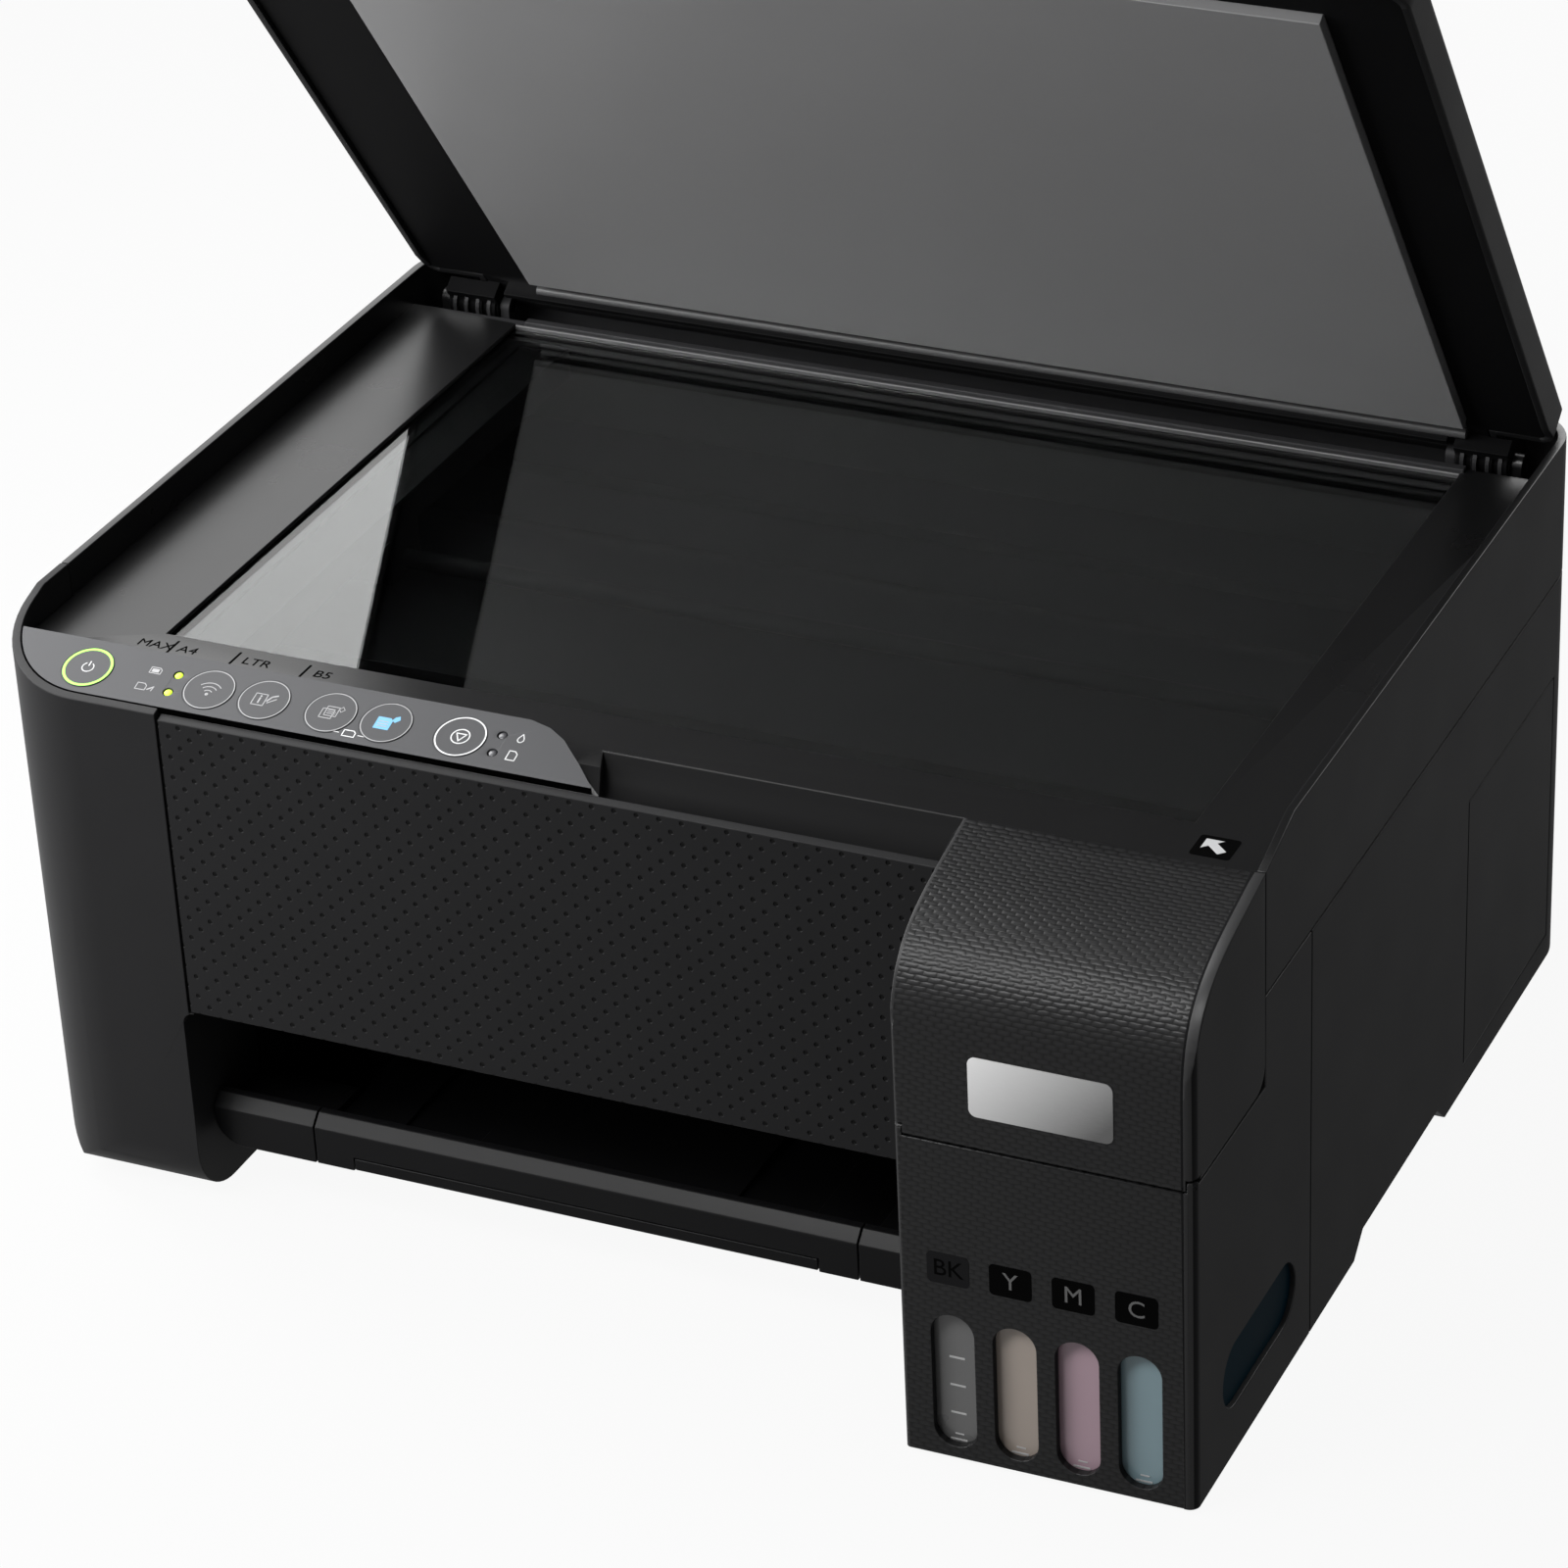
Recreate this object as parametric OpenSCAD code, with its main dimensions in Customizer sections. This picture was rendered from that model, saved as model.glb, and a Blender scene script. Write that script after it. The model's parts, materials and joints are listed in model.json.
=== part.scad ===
// Inkjet printer with refillable ink tanks, a flatbed scanner and a rear paper feeder.
// Units are millimetres. X runs right, Y runs back and Z up. The origin is on the floor, under the
// centre of the printer's box. The lid is drawn open, and everything else at rest.

/* [Body] */
// Overall width
body_w = 375; // [368:1:390]
// Depth from the front wall to the rear wall
body_depth = 284; // [280:1:292]
// Height with the lid closed
body_h = 179; // [177:1:186]
// Thickness of the moulded walls
wall = 2.5; // [2:0.1:2.8]
// Height of the scanner unit and the lid together
unit_h = 48; // [46:1:49]
// Radius of the front left column seen from above
column_r = 32; // [26:1:36]
// Radius of the rear corners seen from above
rear_r = 18; // [14:1:20]
// Radius along the lower left edge
keel_r = 26; // [20:1:30]
// Radius of the lower front and rear edges
toe_r = 18; // [12:1:20]
// Width of the gaps between housing parts
seam_gap = 0.4; // [0.3:0.1:0.6]
// Height of the rubber feet
foot_h = 1.5; // [1:0.1:2.5]
// Radius of the rubber feet
foot_r = 8; // [6:0.5:9]

/* [Front] */
// Lower edge of the dimpled front panel
slot_top_z = 67.5; // [64:0.5:70]
// Width of the column beside the paper slot
column_w = 56; // [53:1:61]
// Radius of the slot's upper left corner
slot_fillet = 4; // [2:0.5:5]
// How far the front sill lies behind the front wall
sill_setback = 10; // [8:0.5:12]
// Underside of the sill and the output tray
sill_z = 17.5; // [16:0.5:19]
// Height of the sill's front lip
sill_h = 15.5; // [14:0.5:17]
// Fall of the control panel for each millimetre forward
panel_fall = 0.31; // [0.25:0.01:0.34]
// Length of the sloping nose ahead of the flat rim
nose_len = 38; // [36:0.5:40]
// Thickness of the control panel
panel_t = 2; // [1.6:0.1:2.4]
// Radius of the control buttons
button_r = 7.4; // [6.5:0.1:7.5]
// Travel of a button
button_travel = 0.5; // [0.3:0.1:0.8]
// Depth of the finger scoop below the deck
scoop_depth = 5.6; // [4:0.2:6.6]

/* [Ink tanks] */
// Width of the tank unit
tank_unit_w = 83.6; // [82:0.2:85]
// How far the tank unit stands ahead of the front wall
tank_reach = 36; // [34:0.5:40]
// Height of the seam under the tank cover
cover_seam_z = 103; // [101:0.5:105]
// Distance from the tank unit's left side to the first tank's centre
first_tank = 14.8; // [14.4:0.1:15.2]
// Width of a level window
window_w = 12.3; // [10:0.1:13]
// Height of a level window
window_h = 42.5; // [38:0.5:46]
// Outer radius of a filler neck
neck_r = 5.5; // [5:0.1:6]
// Depth of the tank cover's side wings
wing_depth = 52; // [50:0.5:53]

/* [Scanner] */
// Depth of the deck below the rim
deck_drop = 10; // [9:0.5:11]
// Width of the deck to the right of the glass
deck_side = 28.3; // [26.5:0.1:31.5]
// Depth of the deck ahead of the glass
deck_front = 18; // [17:0.1:20]
// Thickness of the platen glass
glass_t = 3; // [2.5:0.1:3.5]
// Width of the scan carriage
scan_w = 22; // [18:1:26]

/* [Lid] */
// Angle at which the lid stands open
lid_open = 53.7; // [40:0.1:60]
// Height of the lid above the rim
lid_proud = 4.3; // [3.5:0.1:5]
// Gap between the control panel and the lid
lid_front_gap = 1.5; // [0.5:0.1:3]
// Width of the rim beside the lid
lid_side = 3.2; // [3:0.1:4.5]
// Radius of the lid's hinge barrels
barrel_r = 5.5; // [5:0.1:5.8]

/* [Paper path] */
// Radius of the roller shafts
shaft_r = 3; // [2.6:0.1:3.2]
// Radius of the paper feed rollers
roller_r = 5.5; // [5:0.1:5.8]
// Radius of the pick-up roller
pickup_r = 16; // [13:0.5:17]
// Radius of the print carriage's guide rail
rail_r = 4; // [3.5:0.1:4.5]
// Width of the print carriage
carriage_w = 66; // [60:1:68]
// Tooth size of the gears
gear_module = 1; // [0.95:0.01:1.02]
// Depth of the rear paper feeder
feeder_depth = 27; // [26:0.5:32]
// Width of the rear paper feeder
feeder_w = 244; // [238:1:250]

/* [Hidden] */
$fn = 48;

body_black = [0.13, 0.13, 0.14];
trim_black = [0.08, 0.08, 0.09];
panel_grey = [0.5, 0.51, 0.52];
steel = [0.68, 0.69, 0.71];
nylon = [0.86, 0.86, 0.83];
rubber = [0.1, 0.1, 0.1];

eps = 0.01;
seat_gap = 0.3;
run_gap = 0.05;

// Main planes of the housing
half_w = body_w / 2;
tank_front_y = -(tank_reach + body_depth + feeder_depth) / 2;
front_y = tank_front_y + tank_reach;
rear_y = front_y + body_depth;
back_y = rear_y + feeder_depth;
floor_z = foot_h;
seam_z = body_h - unit_h;
rim_z = body_h - lid_proud;
deck_z = rim_z - deck_drop;
nose_y = front_y + nose_len;
lower_top_z = seam_z - seam_gap;
upper_bottom_z = seam_z + seam_gap;

// Planes between the housing parts
column_back_y = front_y + 51;
slot_back_y = front_y + 37.5;
tank_x0 = half_w - tank_unit_w;
slot_x1 = tank_x0 - seam_gap;
slot_x0 = -half_w + column_w;
panel_x0 = slot_x0 + 2.5;
pan_x0 = -half_w + keel_r + 3;
pan_x1 = half_w - rear_r - 1;
pan_y0 = slot_back_y + seat_gap;
pan_y1 = rear_y - toe_r - 1;
tank_back_y = front_y + 52;
wing_back_y = tank_front_y + wing_depth;
deck_front_y = wing_back_y + seam_gap;
panel_back_y = front_y + 22;
inner_top_z = deck_z - wall;

// Axes of the hinged parts
lid_y = rear_y - 12.5;
lid_z = deck_z - 1.7;
unit_r = 8.5;
unit_y = rear_y - unit_r;
unit_z = upper_bottom_z + unit_r;
cover_pin_r = 1.6;
cover_y = tank_front_y + cover_pin_r;
cover_z = cover_seam_z;
flap_y = rear_y + 5;
feeder_top_z = seam_z - 3.5;
flap_z = feeder_top_z - 1;
paper_x = (slot_x0 + slot_x1) / 2;

// Paper path and gear train
feed_teeth = 40;
idler_teeth = 22;
exit_teeth = 24;
pinion_teeth = 12;
feed_z = 47.5;
exit_y = front_y + 45.5;
idler_y = exit_y + gear_module * (exit_teeth + idler_teeth) / 2;
feed_y = idler_y + gear_module * (idler_teeth + feed_teeth) / 2;
pinion_z = feed_z - gear_module * (feed_teeth + pinion_teeth) / 2;
platen_top_z = feed_z + roller_r;
roller_pitch = (slot_x1 - slot_x0 - 45) / 5;
pickup_y = rear_y - 40;
pickup_z = 64;
post_t = 4;
bearing_x = [slot_x0 - 2.5, slot_x1 - 5.5];
gear_t = 6;
gear_x = bearing_x[0] - gear_t - 3.5;
idler_pin_r = 2.5;
motor_boss_r = 5;
frame_y = feed_y + 26;

// --- shared shapes ---

// Box between two opposite corners
module block(low, high) {
  translate(low) cube(high - low);
}

// Round bar along X
module bar_x(x0, x1, y, z, r) {
  translate([x0, y, z]) rotate([0, 90, 0]) cylinder(h = x1 - x0, r = r);
}

// Round bar along Y
module bar_y(y0, y1, x, z, r) {
  translate([x, y1, z]) rotate([90, 0, 0]) cylinder(h = y1 - y0, r = r);
}

// Outline in [y, z] drawn out along X
module along_x(x0, x1) {
  translate([x0, 0, 0]) rotate([90, 0, 90]) linear_extrude(height = x1 - x0) children();
}

// Outline in [x, z] drawn out along Y
module along_y(y0, y1) {
  translate([0, y1, 0]) rotate([90, 0, 0]) linear_extrude(height = y1 - y0) children();
}

// What rounding radius r takes off a corner that points along [sx, sy]
module corner_cut(x, y, sx, sy, r) {
  translate([x - sx * r, y - sy * r]) difference() {
    translate([sx, sy] * (r + 1) / 2) square(r + 1, center = true);
    circle(r = r, $fn = 96);
  }
}

// Slot with round ends, upright or lying
module stadium(w, h) {
  r = min(w, h) / 2;
  square([w - (w > h ? 2 * r : 0), h - (h > w ? 2 * r : 0)], center = true);
  for (s = [-1, 1])
    translate(w > h ? [s * (w / 2 - r), 0] : [0, s * (h / 2 - r)]) circle(r = r);
}

// Body outline seen from above, drawn in by inset
module plan(inset = 0) {
  x = half_w - inset;
  y0 = front_y + inset;
  y1 = rear_y - inset;
  difference() {
    translate([-x, y0]) square([2 * x, y1 - y0]);
    corner_cut(-x, y0, -1, -1, column_r - inset);
    corner_cut(-x, y1, -1, 1, rear_r - inset);
    corner_cut(x, y1, 1, 1, rear_r - inset);
  }
}

// Height of the rim and of the control panel at a distance back
function roof_z(y) = y > nose_y ? rim_z : rim_z - panel_fall * (nose_y - y);

// Space below the rim and the sloping nose, lowered by drop
module under_roof(drop = 0) {
  along_x(-half_w - 1, half_w + 1)
    polygon([
      [tank_front_y - 1, 0], [back_y, 0], [back_y, rim_z - drop],
      [nose_y, rim_z - drop], [tank_front_y - 1, roof_z(tank_front_y - 1) - drop]
    ]);
}

// Lower body as a solid, with its rounded lower edges, drawn in by inset
module body_solid(inset = 0) {
  x = half_w - inset;
  y0 = front_y + inset;
  y1 = rear_y - inset;
  z0 = floor_z + inset;
  intersection() {
    linear_extrude(height = rim_z + 1) plan(inset);
    along_y(front_y - 1, rear_y + 1) difference() {
      translate([-x, z0]) square([2 * x, rim_z]);
      corner_cut(-x, z0, -1, -1, keel_r - inset);
    }
    along_x(-half_w - 1, half_w + 1) difference() {
      translate([y0, z0]) square([y1 - y0, rim_z]);
      corner_cut(y0, z0, -1, -1, toe_r - inset);
      corner_cut(y1, z0, 1, -1, toe_r - inset);
    }
  }
}

// Places a piece drawn with the lid closed where the open lid holds it
module on_lid() {
  translate([0, lid_y, lid_z]) rotate([-lid_open, 0, 0]) translate([0, -lid_y, -lid_z]) children();
}

// --- housing of the lower body ---

module base_pan() color(trim_black) {
  rib_h = 14;
  roller_post_y = [exit_y - 7, feed_y + 8];
  difference() {
    union() {
      block([pan_x0, pan_y0, floor_z], [pan_x1, pan_y1, floor_z + wall]);
      // Front wall, cross ribs and side walls
      for (y = [pan_y0, frame_y + 14, pan_y1 - 14])
        block([pan_x0, y, floor_z], [pan_x1, y + wall, floor_z + rib_h]);
      for (x = [pan_x0, pan_x1 - wall])
        block([x, pan_y0, floor_z], [x + wall, pan_y1, floor_z + rib_h]);
      for (x = bearing_x) {
        // Posts that carry the feed, exit and pick-up rollers
        block([x, roller_post_y[0], floor_z], [x + post_t, roller_post_y[1], feed_z + 6]);
        block([x, pickup_y - 9, floor_z], [x + post_t, pickup_y + 9, pickup_z + 8]);
      }
      // Pin of the idler gear
      bar_x(gear_x - 0.5, bearing_x[0] + eps, idler_y, feed_z, idler_pin_r);
    }
    // The tank unit has its own floor
    block([tank_x0 - seam_gap, pan_y0 - 1, 0], [half_w, tank_back_y, feed_z]);
    for (y = [exit_y, feed_y])
      bar_x(bearing_x[0] - 1, bearing_x[1] + post_t + 1, y, feed_z, shaft_r + run_gap);
    bar_x(bearing_x[0] - 1, bearing_x[1] + post_t + 1, pickup_y, pickup_z, shaft_r + run_gap);
    // Way through for the feed motor's boss
    bar_x(bearing_x[0] - 1, bearing_x[0] + post_t + 1, feed_y, pinion_z, motor_boss_r + seat_gap);
  }
}

module rubber_feet() color(rubber) {
  left_x = pan_x0 + foot_r + 1;
  right_x = pan_x1 - foot_r - 8;
  rear_foot_y = pan_y1 - foot_r - 15;
  for (p = [[left_x, pan_y0 + foot_r + 3], [left_x, rear_foot_y], [right_x, rear_foot_y],
            [tank_x0 + 16, tank_front_y + 14], [half_w - 16, tank_front_y + 14]])
    translate([p[0], p[1], 0]) cylinder(h = foot_h, r = foot_r);
}

module left_cover() color(body_black) {
  top_x = panel_x0 - seam_gap;
  difference() {
    intersection() {
      body_solid();
      under_roof();
      union() {
        block([-half_w - 1, front_y - 1, 0], [pan_x0 - seat_gap, rear_y + 1, lower_top_z]);
        block([-half_w - 1, front_y - 1, 0], [slot_x0, slot_back_y, lower_top_z]);
        block([-half_w - 1, front_y - 1, lower_top_z - 1], [slot_x0, column_back_y, rim_z]);
        block([slot_x0 - 1, front_y - 1, slot_top_z], [top_x, front_y + wall, rim_z]);
      }
    }
    intersection() {
      body_solid(wall);
      union() {
        block([-half_w, front_y, 0], [slot_x0 - wall, rear_y, rim_z + 1]);
        block([-half_w, front_y, lower_top_z], [top_x + 1, rear_y, rim_z + 1]);
      }
    }
  }
  // Fillet between the slot's left edge and the front panel's lower edge
  difference() {
    union() {
      block([slot_x0 - eps, front_y, slot_top_z - slot_fillet - seam_gap],
            [slot_x0 + slot_fillet, front_y + wall, slot_top_z - seam_gap]);
      block([slot_x0 - eps, front_y, slot_top_z - slot_fillet], [top_x, front_y + wall, slot_top_z + eps]);
    }
    bar_y(front_y - 1, front_y + wall + 1, slot_x0 + slot_fillet,
          slot_top_z - seam_gap - slot_fillet, slot_fillet);
  }
}

module right_cover() color(body_black) {
  grip_z = floor_z + 6.5;
  grip_y0 = tank_back_y + 35;
  grip_y1 = grip_y0 + 83;
  difference() {
    intersection() {
      body_solid();
      block([half_w - rear_r, tank_back_y, 0], [half_w + 1, rear_y + 1, lower_top_z]);
    }
    body_solid(wall);
    // Hand grip along the lower edge
    along_x(half_w - rear_r - 1, half_w + 1)
      polygon([[grip_y0, 0], [grip_y0 + 9, grip_z], [grip_y1 - 9, grip_z], [grip_y1, 0]]);
    service_opening(half_w - wall - 1, half_w + 1, 0);
  }
}

// Opening for the service cover in the right wall, drawn in by inset
module service_opening(x0, x1, inset) {
  block([x0, service_y0 + inset, service_z0 + inset],
        [x1, service_y1 - inset, service_z1 - inset]);
}
service_y0 = tank_back_y + 132.5;
service_y1 = rear_y - rear_r - 2;
service_z0 = 10;
service_z1 = 99;

module service_cover() color(body_black) {
  lap = 4;
  tab_h = 10;
  service_opening(half_w - wall, half_w, seam_gap);
  // Tabs that lap behind the right cover
  for (z = [service_z0 + 12, service_z1 - 22])
    difference() {
      block([half_w - 2 * wall, service_y0 - lap, z], [half_w - wall + 1, service_y1 + lap, z + tab_h]);
      for (y = [service_y0 - lap - 1, service_y1 - seam_gap])
        block([half_w - wall - 0.2, y, z - 1], [half_w + 1, y + lap + 1 + seam_gap, z + tab_h + 1]);
    }
}

module rear_cover() color(body_black) {
  difference() {
    intersection() {
      body_solid();
      block([-half_w + keel_r + 3, rear_y - toe_r, 0],
            [half_w - rear_r - seam_gap, rear_y + 1, lower_top_z]);
    }
    body_solid(wall);
    // Way in for the paper
    block([paper_x - 108, rear_y - toe_r - 1, 56], [paper_x + 108, rear_y + 1, lower_top_z - 8.6]);
    // Mains inlet and USB socket
    block([inlet_x - inlet_w / 2, rear_y - toe_r - 1, inlet_z],
          [inlet_x + inlet_w / 2, rear_y + 1, inlet_z + inlet_h]);
    block([usb_x - usb_w / 2, rear_y - toe_r - 1, usb_z], [usb_x + usb_w / 2, rear_y + 1, usb_z + usb_w]);
    // Cooling slots
    for (i = [0:5])
      block([paper_x + 124 + 7 * i, rear_y - wall - 1, 70], [paper_x + 127 + 7 * i, rear_y + 1, 104]);
  }
}
inlet_x = -half_w + 46;
inlet_w = 26;
inlet_h = 20;
inlet_z = 22;
usb_x = half_w - 38;
usb_w = 12;
usb_z = 26;

module mains_inlet() color(trim_black) {
  socket_w = 18;
  socket_h = 11;
  depth = 21;
  difference() {
    block([inlet_x - inlet_w / 2 + 0.2, rear_y - depth, inlet_z + 0.2],
          [inlet_x + inlet_w / 2 - 0.2, rear_y - 0.6, inlet_z + inlet_h - 0.2]);
    along_y(rear_y - depth + 4, rear_y) translate([inlet_x, inlet_z + inlet_h / 2])
      stadium(socket_w, socket_h);
  }
  for (s = [-1, 1])
    bar_y(rear_y - depth + 2, rear_y - 5, inlet_x + s * 4, inlet_z + inlet_h / 2, 1.2);
}

module usb_socket() color(steel) {
  depth = 17;
  difference() {
    block([usb_x - usb_w / 2 + 0.2, rear_y - depth, usb_z + 0.2],
          [usb_x + usb_w / 2 - 0.2, rear_y - 0.6, usb_z + usb_w - 0.2]);
    block([usb_x - usb_w / 2 + 1.2, rear_y - depth + 2, usb_z + 1.2],
          [usb_x + usb_w / 2 - 1.2, rear_y, usb_z + usb_w - 1.2]);
  }
  block([usb_x - 2.6, rear_y - depth + 1, usb_z + usb_w / 2 - 1.5],
        [usb_x + 2.6, rear_y - 2.5, usb_z + usb_w / 2 + 1.5]);
}

module front_panel() color(body_black) {
  rib_t = 1.5;
  rib_h = 8;
  rib_pitch = (slot_x1 - panel_x0 - 12.5) / 5;
  intersection() {
    under_roof(1.6);
    union() {
      block([panel_x0, front_y, slot_top_z], [slot_x1, front_y + wall, rim_z]);
      block([panel_x0, front_y, slot_top_z], [slot_x1, front_y + rib_h, slot_top_z + wall]);
      // Ribs that stiffen the panel from behind
      for (i = [0:5])
        block([panel_x0 + 5 + rib_pitch * i, front_y + wall - eps, slot_top_z],
              [panel_x0 + 5 + rib_t + rib_pitch * i, front_y + rib_h, lower_top_z - 2]);
    }
  }
}

module front_sill() color(trim_black) {
  end_r = 9;
  beam_y = [slot_back_y - 11, slot_back_y];
  beam_z = 13;
  ends = [[slot_x0 + seat_gap, tray_x0 - seam_gap], [tray_x1 + seam_gap, slot_x1]];
  difference() {
    union() {
      for (e = ends) {
        along_x(e[0], e[1]) sill_section(sill_y, pan_y0 - seat_gap, 9);
        block([e[0], beam_y[0], beam_z], [e[1], beam_y[1], sill_z + eps]);
      }
      // Beam under the tray that ties both ends together
      block([ends[0][0], beam_y[0], beam_z], [ends[1][1], beam_y[1], sill_z - seam_gap]);
    }
    along_y(sill_y - 1, pan_y0) corner_cut(ends[0][0], beam_z, -1, -1, end_r);
    along_y(sill_y - 1, beam_y[0]) corner_cut(ends[0][0], sill_z, -1, -1, end_r);
  }
  // Tongues that guide the output tray
  for (x = [tray_x0 - seam_gap - eps, tray_x1 - tongue_w])
    block([x, beam_y[0] + 1, sill_z + 2], [x + tongue_w + seam_gap + eps, beam_y[1] - 1, sill_z + 5]);
}

// Side view of the sill and the tray: front lip with a chamfer, then a flat run of height h
module sill_section(y0, y1, h) {
  lip = 3.5;
  z1 = sill_z + sill_h;
  polygon([
    [y0, sill_z], [y1, sill_z], [y1, sill_z + h], [y0 + 9, sill_z + h], [y0 + 6, z1], [y0 + lip, z1],
    [y0, z1 - lip]
  ]);
}
sill_y = front_y + sill_setback;
tray_x0 = slot_x0 + 33;
tray_x1 = slot_x1 - 33;
tray_back_y = slot_back_y + 108;
tongue_w = 2.6;

// --- tank unit ---

tank_pitch = (tank_unit_w - first_tank - 15.7) / 3;
function tank_x(i) = tank_x0 + first_tank + tank_pitch * i;
tank_top_z = cover_seam_z - 4.4;
tank_names = ["black", "yellow", "magenta", "cyan"];
fill_y = tank_front_y + 24;

// Tank unit outline from above, drawn in by inset
module tank_plan(inset = 0) {
  difference() {
    translate([tank_x0 + inset, tank_front_y + inset])
      square([tank_unit_w - 2 * inset, tank_back_y - seam_gap - tank_front_y - inset + (inset > 0 ? 1 : 0)]);
    if (inset == 0) corner_cut(tank_x0, tank_front_y, -1, -1, 1.5);
    if (inset == 0) corner_cut(half_w, tank_front_y, 1, -1, tank_edge_r);
  }
}
tank_edge_r = 3;

module tank_housing() color(body_black) {
  inner_x0 = tank_x0 + wall;
  inner_x1 = half_w - wall;
  side_window = [56, 20];
  window_z = floor_z + 3.5;
  deck_t = 2;
  deck_top = tank_top_z + seat_gap + deck_t;
  difference() {
    union() {
      difference() {
        translate([0, 0, floor_z]) linear_extrude(height = cover_seam_z - floor_z) tank_plan();
        translate([0, 0, floor_z + wall]) linear_extrude(height = body_h) tank_plan(wall);
        // Behind the slot's end the left wall gives way to the paper path
        block([tank_x0 - 1, slot_back_y, floor_z + wall], [inner_x0 + 1, tank_back_y, body_h]);
      }
      // Side wall behind the cover's wing
      block([inner_x1, wing_back_y + seam_gap, cover_seam_z - 1],
            [half_w, tank_back_y - seam_gap, lower_top_z]);
      // Deck around the filler necks
      block([inner_x0 - eps, tank_front_y + wall - eps, deck_top - deck_t],
            [inner_x1 + eps, tank_back_y - seam_gap, deck_top]);
      // Ears that hold the cover's pins
      for (x = [tank_x0, half_w - cover_ear_w])
        intersection() {
          translate([0, 0, cover_z - 5]) linear_extrude(height = 10) tank_plan();
          union() {
            bar_x(x, x + cover_ear_w, cover_y, cover_z, cover_pin_r);
            block([x, tank_front_y, cover_z - 5], [x + cover_ear_w, cover_y + cover_pin_r, cover_z]);
          }
        }
    }
    for (i = [0:3]) {
      along_y(tank_front_y - 1, tank_front_y + wall + 1)
        translate([tank_x(i), window_z + window_h / 2]) stadium(window_w, window_h);
      translate([tank_x(i), fill_y, deck_top - deck_t - 1]) cylinder(h = deck_t + 2, r = neck_r + seat_gap);
    }
    along_x(inner_x1 - 1, half_w + 1)
      translate([tank_front_y + 48, 27]) stadium(side_window[0], side_window[1]);
    // Room for the cover's rolling edge, its face when wide open, and its pins
    block([tank_x0 + cover_ear_w, tank_front_y - 1, cover_z - cover_pin_r],
          [half_w - cover_ear_w, tank_front_y + 0.5, cover_z]);
    bar_x(tank_x0 + cover_ear_w, half_w - cover_ear_w, cover_y, cover_z, cover_pin_r + seat_gap);
    bar_x(tank_x0 - 1, half_w + 1, cover_y, cover_z, cover_bore_r);
  }
}
cover_ear_w = 2.2;
cover_bore_r = 0.85;

module ink_tank(i) {
  skin = 1.6;
  x0 = i == 0 ? tank_x0 + wall + seat_gap : tank_x(i) - tank_pitch / 2 + seat_gap;
  x1 = i == 3 ? half_w - wall - seat_gap : tank_x(i) + tank_pitch / 2 - seat_gap;
  y0 = tank_front_y + wall + seat_gap;
  y1 = tank_back_y - 6;
  z0 = floor_z + wall + 0.2;
  difference() {
    union() {
      block([x0, y0, z0], [x1, y1, tank_top_z]);
      translate([tank_x(i), fill_y, tank_top_z - eps]) cylinder(h = 7, r = neck_r);
    }
    block([x0 + skin, y0 + skin, z0 + skin], [x1 - skin, y1 - skin, tank_top_z - skin]);
    translate([tank_x(i), fill_y, tank_top_z - skin - 1]) cylinder(h = 12, r = cap_plug_r + 0.1);
  }
}
cap_plug_r = 3.6;

module ink_tank_black() color([0.3, 0.3, 0.31]) ink_tank(0);
module ink_tank_yellow() color([0.6, 0.57, 0.5]) ink_tank(1);
module ink_tank_magenta() color([0.6, 0.45, 0.53]) ink_tank(2);
module ink_tank_cyan() color([0.4, 0.56, 0.6]) ink_tank(3);

module filler_cap(i) {
  head_r = 7;
  head_h = 8;
  neck_top = tank_top_z + 7;
  translate([tank_x(i), fill_y, neck_top + 0.2]) {
    cylinder(h = head_h, r = head_r);
    // Finger tab
    translate([-1.2, -head_r + 1, head_h - eps]) cube([2.4, 2 * head_r - 2, 7]);
    translate([0, 0, -7]) cylinder(h = 7 + eps, r = cap_plug_r);
  }
}
module filler_cap_black() color([0.2, 0.2, 0.2]) filler_cap(0);
module filler_cap_yellow() color([0.85, 0.7, 0.1]) filler_cap(1);
module filler_cap_magenta() color([0.75, 0.1, 0.4]) filler_cap(2);
module filler_cap_cyan() color([0.1, 0.5, 0.75]) filler_cap(3);

// Cubic curve through four control points
function bezier(a, b, c, d, t) =
  pow(1 - t, 3) * a + 3 * pow(1 - t, 2) * t * b + 3 * (1 - t) * t * t * c + t * t * t * d;

// Side view of the tank cover, drawn in by inset: its top sweeps over into the front face
module cover_section(inset = 0) {
  back_y = wing_back_y + (inset > 0 ? 1 : 0);
  shoulder_z = rim_z - 13.5 - inset;
  polygon(concat(
    [[back_y, cover_z - inset]],
    [for (i = [0:18])
      bezier([back_y, roof_z(wing_back_y) + 0.2 - inset], [tank_front_y + 25, shoulder_z],
             [tank_front_y + inset, shoulder_z], [tank_front_y + inset, rim_z - 45], i / 18)],
    [[tank_front_y + inset, cover_z - inset]]
  ));
}

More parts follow.
